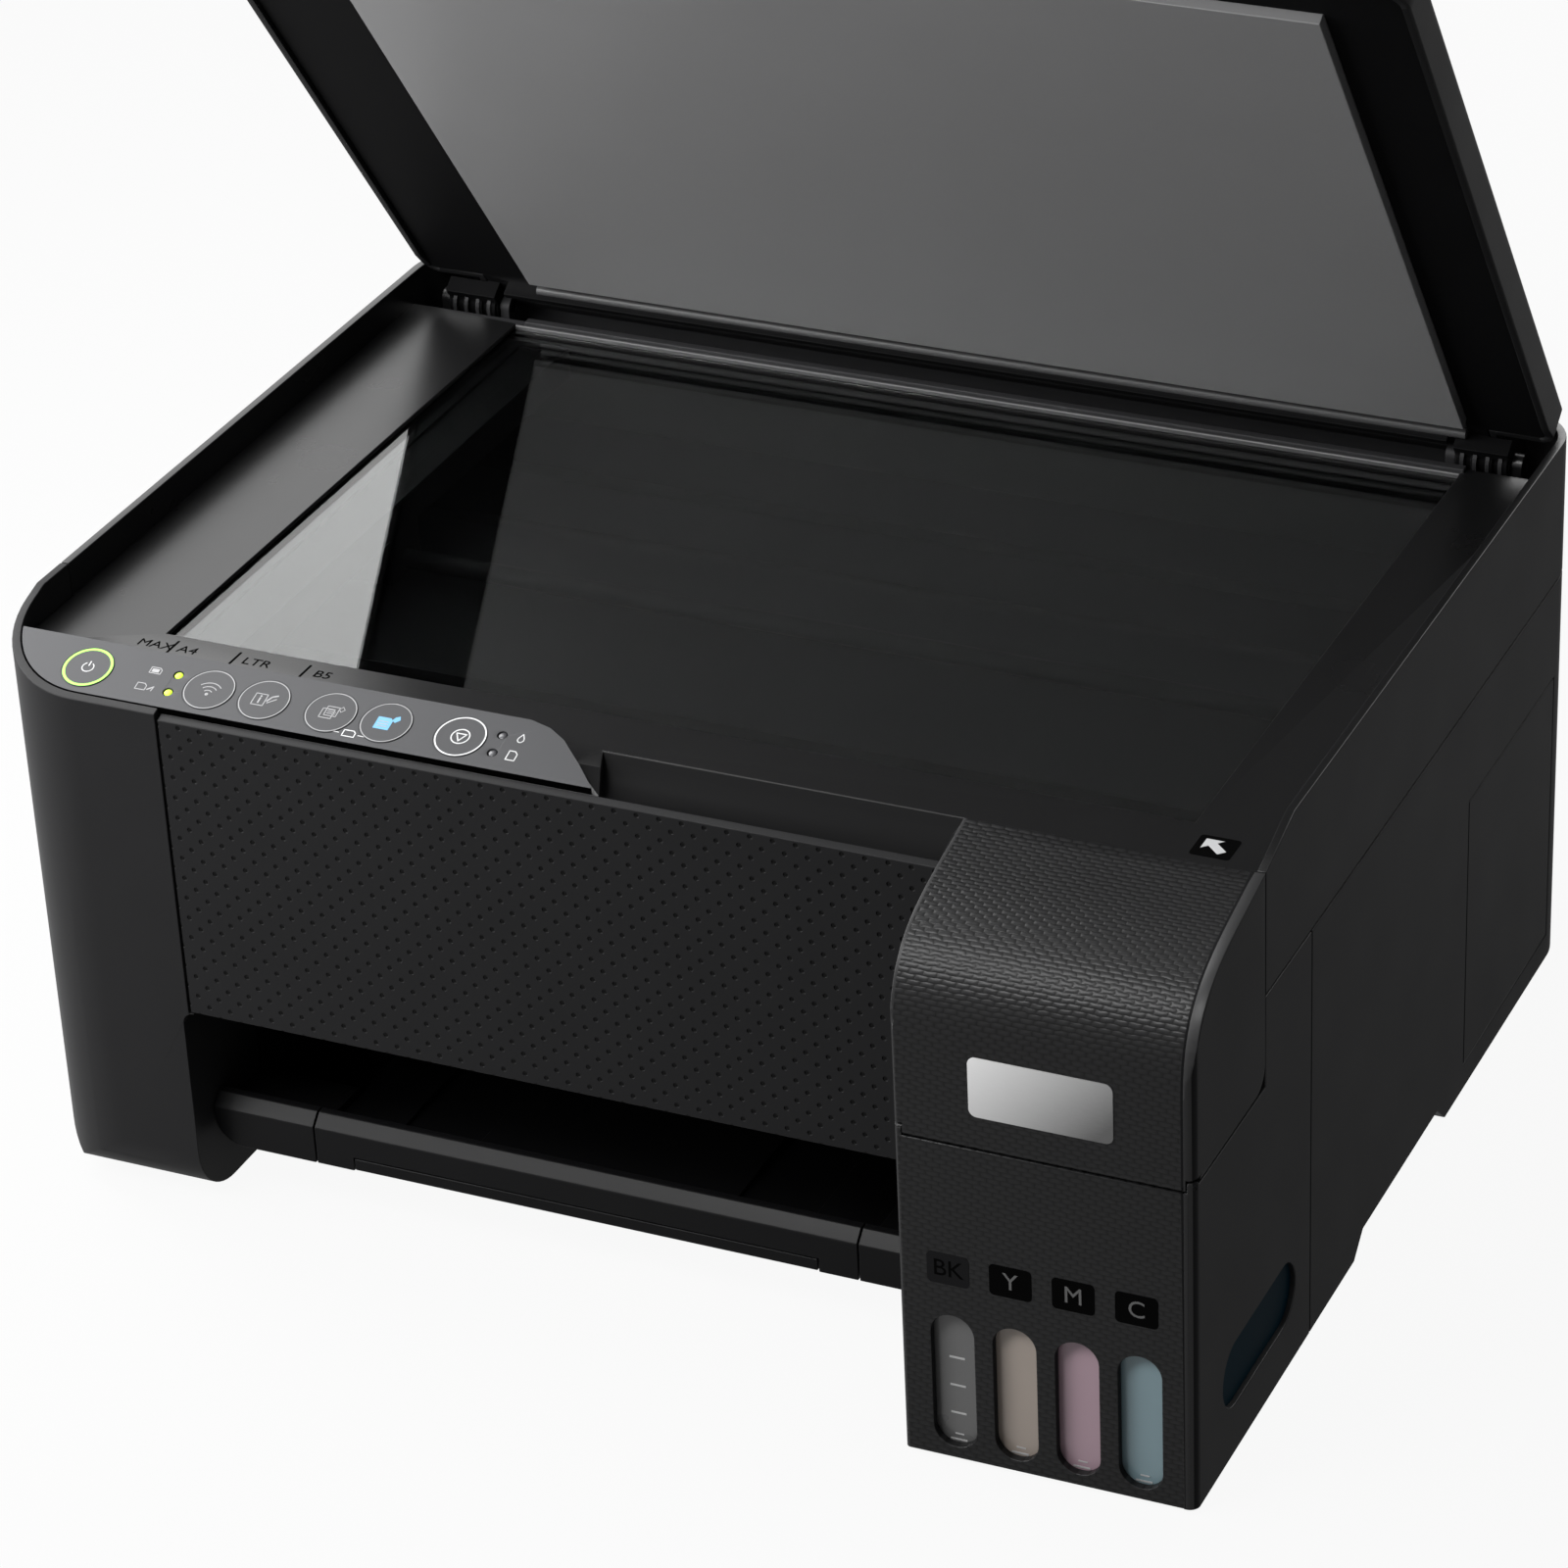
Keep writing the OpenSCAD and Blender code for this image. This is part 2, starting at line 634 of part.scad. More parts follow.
module tank_cover() color(body_black) {
  skin = 2.2;
  corner = 7;
  intersection() {
    translate([0, 0, cover_z - 2]) linear_extrude(height = rim_z) tank_plan();
    union() {
      difference() {
        along_x(tank_x0, half_w) cover_section();
        along_x(tank_x0 + skin, half_w - skin) cover_section(skin);
        // Gap above the housing, with a rounded lower rear corner
        block([tank_x0 - 1, tank_front_y + 4, cover_z - 1], [half_w + 1, wing_back_y + 1, cover_z + 0.8]);
        along_x(tank_x0 - 1, half_w + 1) corner_cut(wing_back_y, cover_z + 0.8, 1, -1, corner);
        // Clear of the housing's ears
        for (x = [tank_x0 - 1, half_w - cover_ear_w - seat_gap])
          block([x, tank_front_y - 1, cover_z - 2],
                [x + cover_ear_w + 1 + seat_gap, cover_y + 3, cover_z + 2.4]);
      }
      // Rolling edge that the cover turns on, with its pins
      bar_x(tank_x0 + cover_ear_w + seat_gap, half_w - cover_ear_w - seat_gap, cover_y, cover_z, cover_pin_r);
      bar_x(tank_x0 + 0.4, half_w - 0.4, cover_y, cover_z, cover_bore_r - run_gap);
    }
  }
}

// --- output tray ---

module output_tray() color(trim_black) {
  difference() {
    along_x(tray_x0, tray_x1) sill_section(sill_y, tray_back_y, 7);
    // Grooves for the sill's tongues
    for (x = [tray_x0 - 1, tray_x1 - tongue_w - seat_gap])
      block([x, slot_back_y - 11.5, sill_z + 1.8], [x + tongue_w + seat_gap + 1, tray_back_y - 3, sill_z + 5.2]);
    // Bay for the extension
    block([tray_x0 + 12, sill_y - 1, sill_z - 1], [tray_x1 - 12, tray_back_y - 6, sill_z + 4.4]);
    // Troughs that keep the sheet flat
    for (x = [tray_x0 + 20, tray_x1 - 44])
      block([x, sill_y + 16, sill_z + 5.8], [x + 24, tray_back_y - 12, sill_z + 8]);
  }
}

module tray_extension() color(trim_black) {
  x0 = tray_x0 + 12 + seat_gap;
  x1 = tray_x1 - 12 - seat_gap;
  well_w = 56;
  difference() {
    block([x0, sill_y, sill_z + 0.4], [x1, sill_y + 106, sill_z + 4.1]);
    // Finger well and lightening pockets
    block([paper_x - well_w / 2, sill_y + 6, sill_z + 2.6], [paper_x + well_w / 2, sill_y + 22, sill_z + 5]);
    for (x = [x0 + 12, x1 - 42])
      block([x, sill_y + 34, sill_z + 2], [x + 30, sill_y + 92, sill_z + 5]);
  }
}

// --- paper path ---

// Spur gear outline with straight flanks, turned by phase degrees
module gear_outline(teeth, phase = 0) {
  pitch_r = gear_module * teeth / 2;
  tip_r = pitch_r + 0.85 * gear_module;
  root_r = pitch_r - 1.15 * gear_module;
  step = 360 / teeth;
  flank = [[root_r, -0.29], [tip_r, -0.1], [tip_r, 0.1], [root_r, 0.29]];
  polygon([
    for (i = [0:teeth - 1], p = flank)
      let (a = phase + step * (i + p[1])) p[0] * [cos(a), sin(a)]
  ]);
}

// Gear in the left-hand train, with its centre at [y, z]
module train_gear(y, z, teeth, phase, bore_r) {
  difference() {
    along_x(gear_x, gear_x + gear_t) translate([y, z]) gear_outline(teeth, phase);
    if (bore_r > 0) bar_x(gear_x - 1, gear_x + gear_t + 1, y, z, bore_r);
  }
}

module feed_roller() {
  color(steel) bar_x(gear_x, bearing_x[1] + post_t + 1, feed_y, feed_z, shaft_r);
  color(rubber)
    for (i = [0:5])
      bar_x(slot_x0 + 16 + roller_pitch * i, slot_x0 + 34 + roller_pitch * i, feed_y, feed_z, roller_r);
  color(nylon) train_gear(feed_y, feed_z, feed_teeth, 0, 0);
}

module exit_roller() {
  color(steel) bar_x(gear_x, bearing_x[1] + post_t + 1, exit_y, feed_z, shaft_r);
  color(rubber)
    for (i = [0:5])
      bar_x(slot_x0 + 21 + roller_pitch * i, slot_x0 + 29 + roller_pitch * i, exit_y, feed_z, roller_r);
  color(nylon) train_gear(exit_y, feed_z, exit_teeth, 0, 0);
}

module idler_gear() color(nylon)
  train_gear(idler_y, feed_z, idler_teeth, 180 / idler_teeth, idler_pin_r + run_gap);

module motor_pinion() color(nylon) {
  train_gear(feed_y, pinion_z, pinion_teeth, 180 / pinion_teeth, 0);
  bar_x(gear_x + gear_t - eps, gear_x + gear_t + 6, feed_y, pinion_z, 2);
}

module feed_motor() color(steel) {
  can_r = 12;
  can_x = bearing_x[0] + post_t + 0.4;
  boss_x = bearing_x[0] - 0.5;
  difference() {
    union() {
      bar_x(can_x, can_x + 25, feed_y, pinion_z, can_r);
      bar_x(boss_x, can_x + eps, feed_y, pinion_z, motor_boss_r);
      // Cradle on the base pan
      block([can_x + 4, feed_y - 9, floor_z + wall + 0.1], [can_x + 21, feed_y + 9, pinion_z - 5]);
    }
    bar_x(boss_x - 1, can_x + 4, feed_y, pinion_z, 2 + run_gap);
  }
}

module paper_platen() color(trim_black) {
  x0 = slot_x0 + 8;
  x1 = slot_x1 - 8;
  y0 = exit_y + roller_r + 2;
  y1 = feed_y - roller_r - 2;
  rib_pitch = (x1 - x0 - 19) / 8;
  // Platen under the print head, held between the base pan's posts, with ribs that carry the sheet
  block([bearing_x[0] + post_t + 0.1, y0, feed_z - 8], [bearing_x[1] - 0.1, y1, platen_top_z - 2]);
  for (i = [0:8])
    block([x0 + 6 + rib_pitch * i, y0 + 1, platen_top_z - 2 - eps],
          [x0 + 8 + rib_pitch * i, y1 - 1, platen_top_z]);
  // Guide from the pick-up roller down to the feed roller
  along_x(x0, x1) polygon([
    [feed_y + 9, feed_z - 3], [feed_y + 9, feed_z + 2], [pickup_y - 22, pickup_z - pickup_r - 6],
    [pickup_y + 10, pickup_z - pickup_r - 3], [pickup_y + 16, pickup_z - pickup_r + 2],
    [pickup_y + 16, pickup_z - pickup_r - 8], [pickup_y - 20, pickup_z - pickup_r - 11]
  ]);
  for (x = [x0 + 20, x1 - 26])
    block([x, pickup_y - 16, floor_z + wall + 0.1], [x + 6, pickup_y - 10, pickup_z - pickup_r - 9]);
}

module pickup_roller() {
  flat_y = 9;
  color(steel) bar_x(bearing_x[0] - 4, bearing_x[1] + 8, pickup_y, pickup_z, shaft_r);
  color(rubber) difference() {
    bar_x(paper_x - 16, paper_x + 16, pickup_y, pickup_z, pickup_r - 1);
    block([paper_x - 17, pickup_y + flat_y, pickup_z - pickup_r],
          [paper_x + 17, pickup_y + 20, pickup_z + pickup_r]);
  }
}

module star_wheels() {
  bar_z = feed_z + roller_r + 6;
  color(trim_black) {
    block([bearing_x[0], exit_y - 5, bar_z], [bearing_x[1] + post_t, exit_y + 5, bar_z + 3]);
    for (x = bearing_x)
      block([x, exit_y - 5, feed_z + 6.2], [x + post_t, exit_y + 5, bar_z + eps]);
  }
  color(steel)
    for (i = [0:5]) {
      x = slot_x0 + 25 + roller_pitch * i;
      bar_x(x - 0.4, x + 0.4, exit_y, bar_z - 1, 4.6);
      bar_x(x - 1.4, x + 1.4, exit_y, bar_z - 1, 1.5);
    }
}

// --- print mechanism ---

frame_x = [slot_x0 - 15, half_w - 8];
rail_y = frame_y - 12;
rail_z = 72;
belt_z = 90;
frame_top_z = 106;
belt_y = frame_y - 7;
pulley_r = 6;
pulley_x = [frame_x[0] + 11, frame_x[1] - 16];
carriage_x1 = half_w - 22.6;
carriage_bottom_z = platen_top_z + 1.6;

module main_frame() color(steel) {
  sheet = 2;
  z0 = 60;
  z1 = frame_top_z;
  foot_z = floor_z + wall + 0.1;
  leg_x = carriage_x1 - 4;
  opening_pitch = (frame_x[1] - frame_x[0] - 78) / 4;
  difference() {
    union() {
      block([frame_x[0], frame_y, z0], [frame_x[1], frame_y + sheet, z1]);
      block([frame_x[0], frame_y - 20, z1 - sheet], [frame_x[1], frame_y + eps, z1]);
      // End plates, the left one standing on the base pan
      block([frame_x[0], frame_y - 34, foot_z], [frame_x[0] + sheet, frame_y + 12, z1]);
      block([frame_x[1] - sheet, frame_y - 34, z0], [frame_x[1], frame_y + 12, z1]);
      // Right leg
      block([leg_x, frame_y, foot_z], [leg_x + sheet, frame_y + sheet, z0 + eps]);
      block([leg_x, frame_y - 19, foot_z], [leg_x + sheet, frame_y + 12, 50]);
    }
    // Openings that lighten the sheet
    for (i = [0:3])
      block([frame_x[0] + 40 + opening_pitch * i, frame_y - 1, z0 + 24],
            [frame_x[0] + 24 + opening_pitch * (i + 1), frame_y + sheet + 1, z1 - 8]);
    bar_y(frame_y - 1, frame_y + sheet + 1, pulley_x[1], belt_z, 3);
  }
  // Guide rail and the idler pulley's pin
  bar_x(frame_x[0] + sheet - eps, frame_x[1] - sheet + eps, rail_y, rail_z, rail_r);
  bar_y(belt_y - 3, frame_y + eps, pulley_x[0], belt_z, 2);
}

module print_carriage() color(trim_black) {
  x0 = carriage_x1 - carriage_w;
  y0 = exit_y + 9;
  z0 = carriage_bottom_z + 4;
  z1 = frame_top_z - 4;
  shell = 2;
  clamp_x = x0 + 28;
  strand_z = belt_z - pulley_r - 0.75;
  difference() {
    union() {
      block([x0, y0, z0], [carriage_x1, belt_y - 5.5, z1]);
      block([x0, rail_y - 8, z0], [carriage_x1, rail_y + 6, rail_z + 8]);
      // Nozzle plate
      block([x0 + 12, y0 + 10, carriage_bottom_z], [carriage_x1 - 12, rail_y - 14, z0 + eps]);
      // Belt clamp
      block([clamp_x, belt_y - 5.5 - eps, strand_z - 3.5], [clamp_x + 10, belt_y + 3.5, strand_z + 3.5]);
    }
    // Bays for the ink dampers, open at the top
    for (i = [0:3])
      block([x0 + shell + i * (carriage_w - shell) / 4, y0 + shell, carriage_bottom_z + 16],
            [x0 + (i + 1) * (carriage_w - shell) / 4, rail_y - rail_r - 5, z1 + 1]);
    bar_x(x0 - 1, carriage_x1 + 1, rail_y, rail_z, rail_r + run_gap);
    block([clamp_x - 1, belt_y - 3, strand_z - 1.1], [clamp_x + 11, belt_y + 4, strand_z + 1.1]);
  }
}

// Toothed belt pulley on its shaft
module pulley(x, bore_r) {
  difference() {
    union() {
      bar_y(belt_y - 3, belt_y + 3, x, belt_z, pulley_r);
      for (y = [belt_y - 4, belt_y + 3 - eps]) bar_y(y, y + 1 + eps, x, belt_z, pulley_r + 2);
    }
    if (bore_r > 0) bar_y(belt_y - 5, belt_y + 5, x, belt_z, bore_r);
  }
}
module drive_pulley() color(nylon) {
  pulley(pulley_x[1], 0);
  bar_y(belt_y + 4 - eps, frame_y + 8, pulley_x[1], belt_z, 1.5);
}
module idler_pulley() color(nylon) pulley(pulley_x[0], 2 + run_gap);

module carriage_belt() color(rubber) {
  belt_t = 1.2;
  r = pulley_r + 0.15;
  along_y(belt_y - 2.5, belt_y + 2.5) difference() {
    translate([(pulley_x[0] + pulley_x[1]) / 2, belt_z])
      stadium(pulley_x[1] - pulley_x[0] + 2 * (r + belt_t), 2 * (r + belt_t));
    translate([(pulley_x[0] + pulley_x[1]) / 2, belt_z]) stadium(pulley_x[1] - pulley_x[0] + 2 * r, 2 * r);
  }
}

module carriage_motor() color(steel) {
  can_r = 13;
  y0 = frame_y + 2.1;
  difference() {
    bar_y(y0, y0 + 28, pulley_x[1], belt_z, can_r);
    bar_y(y0 - 1, y0 + 8, pulley_x[1], belt_z, 1.5 + run_gap);
  }
}

// One tube from each tank, up beside the carriage's home and along the top of the frame
module ink_tubes() color([0.2, 0.2, 0.21]) {
  tube_r = 1.4;
  gap = 3.2;
  run_y = [tank_back_y - 6 + seat_gap, tank_back_y - 2.5, tank_back_y + 3.5];
  top_z = frame_top_z + 4;
  for (i = [0:3]) {
    low_z = 92 - gap * i;
    x = carriage_x1 + 3.5 + gap * i;
    y = frame_y - 16 + gap * i;
    bar_y(run_y[0], run_y[1] + tube_r, tank_x(i), low_z, tube_r);
    bar_x(tank_x(i) - tube_r, x + tube_r, run_y[1], low_z, tube_r);
    bar_y(run_y[1], run_y[2] + tube_r, x, low_z, tube_r);
    translate([x, run_y[2], low_z - tube_r]) cylinder(h = top_z - low_z + 2 * tube_r, r = tube_r);
    bar_y(run_y[2] - tube_r, y + tube_r, x, top_z, tube_r);
    bar_x(paper_x, x + tube_r, y, top_z, tube_r);
  }
  // Clips on top of the frame
  for (x = [paper_x + 4, paper_x + 90])
    block([x, frame_y - 19, frame_top_z + 0.2], [x + 6, frame_y - 3, top_z + 2.4]);
}

module maintenance_station() color(trim_black) {
  x0 = slot_x1 + 8;
  x1 = carriage_x1 - 1;
  y0 = exit_y + 12;
  y1 = rail_y - 8;
  difference() {
    block([x0, y0, floor_z + wall + 0.1], [x1, y1, carriage_bottom_z - 4]);
    block([x0 + 2, y0 + 2, feed_z - 8], [x1 - 2, y1 - 2, carriage_bottom_z]);
  }
  // Cap pads and wiper
  for (y = [y0 + 8, y0 + 24])
    block([x0 + 8, y, feed_z - 8 - eps], [x1 - 18, y + 10, carriage_bottom_z - 1]);
  block([x1 - 10, y0 + 8, feed_z - 8 - eps], [x1 - 8, y1 - 8, carriage_bottom_z - 1]);
}

module main_board() color([0.1, 0.35, 0.2]) {
  board_x = half_w - wall - 9;
  y0 = frame_y + 36;
  y1 = rear_y - rear_r - 4;
  block([board_x, y0, 16], [board_x + 1.6, y1, 94]);
  for (p = [[y0 + 12, 30], [y0 + 46, 52], [y0 + 20, 70]])
    block([board_x - 3, p[0], p[1]], [board_x + eps, p[0] + 14, p[1] + 14]);
  // Stand-offs on the base pan's side wall
  for (y = [y0 + 8, y1 - 14])
    block([pan_x1 + 0.2, y, floor_z + 4], [board_x + 1.6, y + 6, 17]);
}

module power_supply() color([0.2, 0.2, 0.21]) {
  x = [pan_x0 + wall + 1, pan_x0 + 54];
  y = [frame_y + 22, pickup_y - 11];
  z = [floor_z + 8, 35];
  difference() {
    block([x[0], y[0], z[0]], [x[1], y[1], z[1]]);
    // Cooling slots
    for (i = [0:8])
      block([x[0] + 4 + 5 * i, y[0] + 8, z[1] - 2], [x[0] + 6 + 5 * i, y[1] - 8, z[1] + 1]);
  }
  // Feet on the base pan
  for (foot_y = [y[0] + 4, y[1] - 10])
    block([x[0] + 4, foot_y, floor_z + wall + 0.1], [x[1] - 4, foot_y + 6, z[0] + eps]);
}

// --- rear feeder ---

feeder_x = [paper_x - feeder_w / 2, paper_x + feeder_w / 2];
support_x = [paper_x - 86, paper_x + 86];
support_y = back_y - wall - 3.2;
support_t = 2.5;
throat_y = [rear_y + wall + seat_gap, back_y - wall];

module rear_feeder() color(body_black) {
  z0 = 44;
  r = 10;
  front_wall_y = rear_y + seat_gap;
  difference() {
    intersection() {
      block([feeder_x[0], front_wall_y, z0], [feeder_x[1], back_y, feeder_top_z]);
      along_x(feeder_x[0], feeder_x[1]) difference() {
        translate([front_wall_y, z0]) square([back_y - front_wall_y, feeder_top_z - z0]);
        corner_cut(back_y, z0, 1, -1, r);
      }
    }
    // Throat for the paper, open at the top and towards the pick-up roller
    block([paper_x - 110, front_wall_y + wall, z0 + 12], [paper_x + 110, back_y - wall, feeder_top_z + 1]);
    block([paper_x - 108, front_wall_y - 1, z0 + 12],
          [paper_x + 108, front_wall_y + 10, feeder_top_z - 15.5]);
    // Hinge seats of the flap
    for (s = [-1, 1])
      bar_x(s < 0 ? feeder_x[0] - 1 : paper_x + 109, s < 0 ? paper_x - 109 : feeder_x[1] + 1,
            flap_y, flap_z - 1.6, 1.5 + run_gap);
  }
  // Guide rails for the paper support
  for (x = [support_x[0] - 4, support_x[1] + 0.3])
    block([x, support_y - 1, z0 + 12 - eps], [x + 3.7, back_y - wall + eps, feeder_top_z - 6]);
  // Rack bar that the edge guides slide on
  block([paper_x - 110 - eps, front_wall_y + wall + 4, 66],
        [paper_x + 110 + eps, front_wall_y + wall + 7, 70]);
}

module paper_support() color(body_black) {
  difference() {
    union() {
      block([support_x[0], support_y, 60], [support_x[1], support_y + support_t, feeder_top_z - 3]);
      // Bead along the top for the fingers
      bar_x(support_x[0] + 30, support_x[1] - 30, support_y + support_t / 2, feeder_top_z - 3, 1.25);
    }
    for (x = [support_x[0] + 20, paper_x - 16, support_x[1] - 52])
      block([x, support_y - 1, 72], [x + 32, support_y + support_t + 1, feeder_top_z - 16]);
  }
}

module feeder_flap() color(body_black) {
  x0 = paper_x - 109.4;
  x1 = paper_x + 109.4;
  z = flap_z - 1.6;
  block([x0, flap_y, z - 1], [x1, support_y - 1.6, z + 1.4]);
  bar_x(x0, x1, flap_y, z, 1.5);
  bar_x(x0 - 4, x1 + 4, flap_y, z, 1.5);
}

// Upright plate that holds the sheets' edge, with a foot that grips the rack bar
module edge_guide(side) {
  reach = 104;
  x = paper_x + side * reach;
  y0 = rear_y + seat_gap + wall + 0.8;
  y1 = support_y - 2.2;
  difference() {
    union() {
      block([min(x, x - side * 3), y0, 62], [max(x, x - side * 3), y1, flap_z - 4]);
      block([min(x - side * 14, x), y0, 62], [max(x - side * 14, x), y1, 74]);
    }
    block([x - 20, rear_y + seat_gap + wall + 4 - 0.2, 65.8], [x + 20, rear_y + seat_gap + wall + 7.2, 70.2]);
  }
}
module edge_guide_left() color(trim_black) edge_guide(-1);
module edge_guide_right() color(trim_black) edge_guide(1);

// --- scanner unit ---

hinge_post_x = [slot_x0 + 5, slot_x1 + 10];
unit_pin_r = 2.5;

// Brackets that stand on the base pan behind the paper path
module scanner_hinges() color(steel) {
  eye_r = 5;
  foot_z = floor_z + wall + 0.1;
  for (x = hinge_post_x)
    difference() {
      union() {
        along_x(x, x + post_t) polygon([
          [unit_y - 22, foot_z], [pan_y1 - 0.5, foot_z], [unit_y - 1.5, foot_z + 14], [unit_y - 1.5, unit_z],
          [unit_y - 8, unit_z], [unit_y - 8, foot_z + 50]
        ]);
        bar_x(x, x + post_t, unit_y, unit_z, eye_r);
      }
      bar_x(x - 1, x + post_t + 1, unit_y, unit_z, unit_pin_r + run_gap);
    }
}

trough_y = lid_y - 11.5;
trough_z = deck_z - 16.7;
glass_x0 = -half_w + 39.4;
glass_x1 = half_w - deck_side;
glass_y1 = trough_y - 3.1;
glass_y0 = panel_back_y + deck_front;
glass_top_z = deck_z - 1.5;
nose_front_y = front_y + wall + seam_gap;
nose_inset = wall + seam_gap;

// Outer skin of the scanner unit, between the seam and the rim
module scanner_skin() {
  intersection() {
    linear_extrude(height = rim_z) plan();
    under_roof();
    along_x(-half_w, half_w) difference() {
      translate([front_y, upper_bottom_z]) square([body_depth, rim_z]);
      corner_cut(rear_y, upper_bottom_z, 1, -1, unit_r);
    }
    union() {
      block([-half_w - 1, column_back_y + seam_gap, 0], [0, rear_y + 1, rim_z]);
      block([-eps, deck_front_y, 0], [half_w + 1, rear_y + 1, rim_z]);
    }
  }
}

// Outline of the deck from above
module deck_plan() {
  intersection() {
    union() {
      plan(nose_inset);
      intersection() {
        plan(wall - eps);
        translate([-half_w, column_back_y + seam_gap]) square([body_w, body_depth]);
      }
      translate([0, deck_front_y]) square([half_w - 1, 40]);
    }
    union() {
      translate([-half_w, panel_back_y]) square([tank_x0 - seam_gap + half_w, trough_y - panel_back_y]);
      translate([tank_x0 - seam_gap - eps, deck_front_y]) square([body_w, trough_y - deck_front_y]);
    }
  }
}

// Outline of the control panel from above, with its swept right end
module panel_plan() {
  y1 = panel_back_y;
  y0 = front_y;
  tip_x = -half_w + 189.7;
  intersection() {
    plan(nose_inset);
    polygon([
      [-half_w, y0], [tip_x, y0], [tip_x - 0.4, y0 + 3.4], [tip_x - 7, y0 + 10],
      [tip_x - 14.9, y0 + 17.2], [tip_x - 20.5, y0 + 20.4], [tip_x - 27, y1 - eps], [-half_w, y1 - eps]
    ]);
  }
}

// Nose of the scanner unit, under the control panel
module nose() {
  skin = 2;
  scoop_y = front_y + 7.6;
  scoop_r = 19.1;
  scoop_x0 = -half_w + 184;
  difference() {
    intersection() {
      linear_extrude(height = rim_z) intersection() {
        plan(nose_inset);
        translate([-half_w, front_y]) square([tank_x0 - seam_gap + half_w, nose_len - 16 + eps]);
      }
      block([-half_w, front_y, upper_bottom_z], [half_w, nose_y, rim_z]);
      union() {
        intersection() {
          linear_extrude(height = rim_z) panel_plan();
          under_roof(panel_t + 0.1);
        }
        intersection() {
          block([-half_w, front_y, 0], [half_w, nose_y, deck_z]);
          under_roof(panel_t + 0.1);
        }
      }
    }
    // Hollow inside
    intersection() {
      linear_extrude(height = rim_z) plan(nose_inset + skin);
      block([-half_w, front_y, 0], [tank_x0 - seam_gap - skin, nose_y, deck_z - 8]);
      under_roof(panel_t + 8);
    }
    // Pockets under the buttons
    for (b = buttons) on_panel(b[1]) translate([0, 0, -panel_t - button_travel - 1.9])
      cylinder(h = 6, r = button_r + 0.5);
    // Finger scoop
    intersection() {
      bar_x(scoop_x0, tank_x0 - seam_gap - 1.4, scoop_y, deck_z - scoop_depth + scoop_r, scoop_r);
      linear_extrude(height = body_h)
        polygon([[scoop_x0, panel_back_y - 0.4], [half_w, panel_back_y - 0.4], [half_w, front_y],
                 [scoop_x0 + 9, front_y]]);
    }
  }
}

module scanner_top() color(body_black) {
  deck_t = wall;
  side = 2;
  difference() {
    union() {
      difference() {
        scanner_skin();
        linear_extrude(height = rim_z + 1) plan(wall);
      }
      translate([0, 0, deck_z - deck_t]) linear_extrude(height = deck_t) deck_plan();
      // Bar behind the glass, and the trough that the lid turns in
      block([glass_x0 + 3, trough_y - 3, deck_z - eps], [glass_x1 + 1, trough_y, deck_z + 1.2]);
      block([-half_w + wall, trough_y - side, trough_z], [half_w - wall, trough_y, deck_z - eps]);
      intersection() {
        linear_extrude(height = rim_z) plan(wall - eps);
        block([-half_w + 1, trough_y - eps, trough_z - side], [half_w - 1, rear_y, trough_z]);
      }
      // Front wall beside the nose
      block([tank_x0 - seam_gap, deck_front_y, upper_bottom_z],
            [half_w - wall + eps, deck_front_y + side, deck_z - eps]);
      nose();
      // Ears for the lid's barrels
      for (x = lid_barrel_x)
        for (e = [x[0] - 3.2, x[1] + 0.2]) {
          block([e, lid_y - lid_ear_r, trough_z - eps], [e + 3, lid_y + lid_ear_r, lid_z]);
          bar_x(e, e + 3, lid_y, lid_z, lid_ear_r);
        }
      // Ears and pins that the scanner unit turns on
      for (x = hinge_post_x) {
        block([x + post_t + 0.2, unit_y - 4, unit_z], [x + post_t + 3.2, unit_y + 4, trough_z]);
        bar_x(x + post_t + 0.2, x + post_t + 3.2, unit_y, unit_z, 4.6);
        bar_x(x - 0.4, x + post_t + 1, unit_y, unit_z, unit_pin_r);
      }
    }
    // Glass opening, with a rebate below that takes the glass
    block([glass_x0, glass_y0, 0], [glass_x1, glass_y1, deck_z + 1]);
    block([glass_x0 - 5, glass_y0 - 3, glass_top_z - glass_t - 2], [glass_x1 + 5, glass_y1 + 1, glass_top_z]);
    for (x = lid_barrel_x)
      bar_x(x[0] - 4, x[1] + 4, lid_y, lid_z, lid_pin_r + run_gap);
  }
}
lid_barrel_x = [[-half_w + 11, -half_w + 28], [half_w - 33.5, half_w - 16.5]];
lid_pin_r = 2;
lid_ear_r = 3.3;

module scanner_tub() color(trim_black) {
  t = 1.8;
  x = half_w - wall - 2;
  y0 = panel_back_y + 3;
  y1 = trough_y - 3;
  z0 = upper_bottom_z;
  z1 = inner_top_z - 0.2;
  rail_t = 5;
  difference() {
    union() {
      difference() {
        block([-x, y0, z0], [x, y1, z1]);
        block([-x + t, y0 + t, z0 + t], [x - t, y1 - t, z1 + 1]);
      }
      // Blocks that carry the rail
      for (e = [-x + t, x - t - rail_t]) block([e, -2, z0 + t - eps], [e + rail_t, 12, z0 + 14]);
    }
    // The glass rests on the rear wall
    block([glass_x0 - 5.5, y1 - t - 1, glass_top_z - glass_t - 0.2], [glass_x1 + 5.5, y1 + 1, z1 + 1]);
  }
  // Rail that the scan carriage slides on, and stiffening ribs of the floor
  bar_x(-x + t + rail_t - eps, x - t - rail_t + eps, scan_rail_y, scan_rail_z, scan_rail_r);
  for (y = [-80, -50, 45, 80])
    block([-x + t - eps, y, z0 + t - eps], [x - t + eps, y + 1.5, z0 + t + 4]);
}
scan_rail_y = 5;
scan_rail_z = upper_bottom_z + 9;
scan_rail_r = 3;

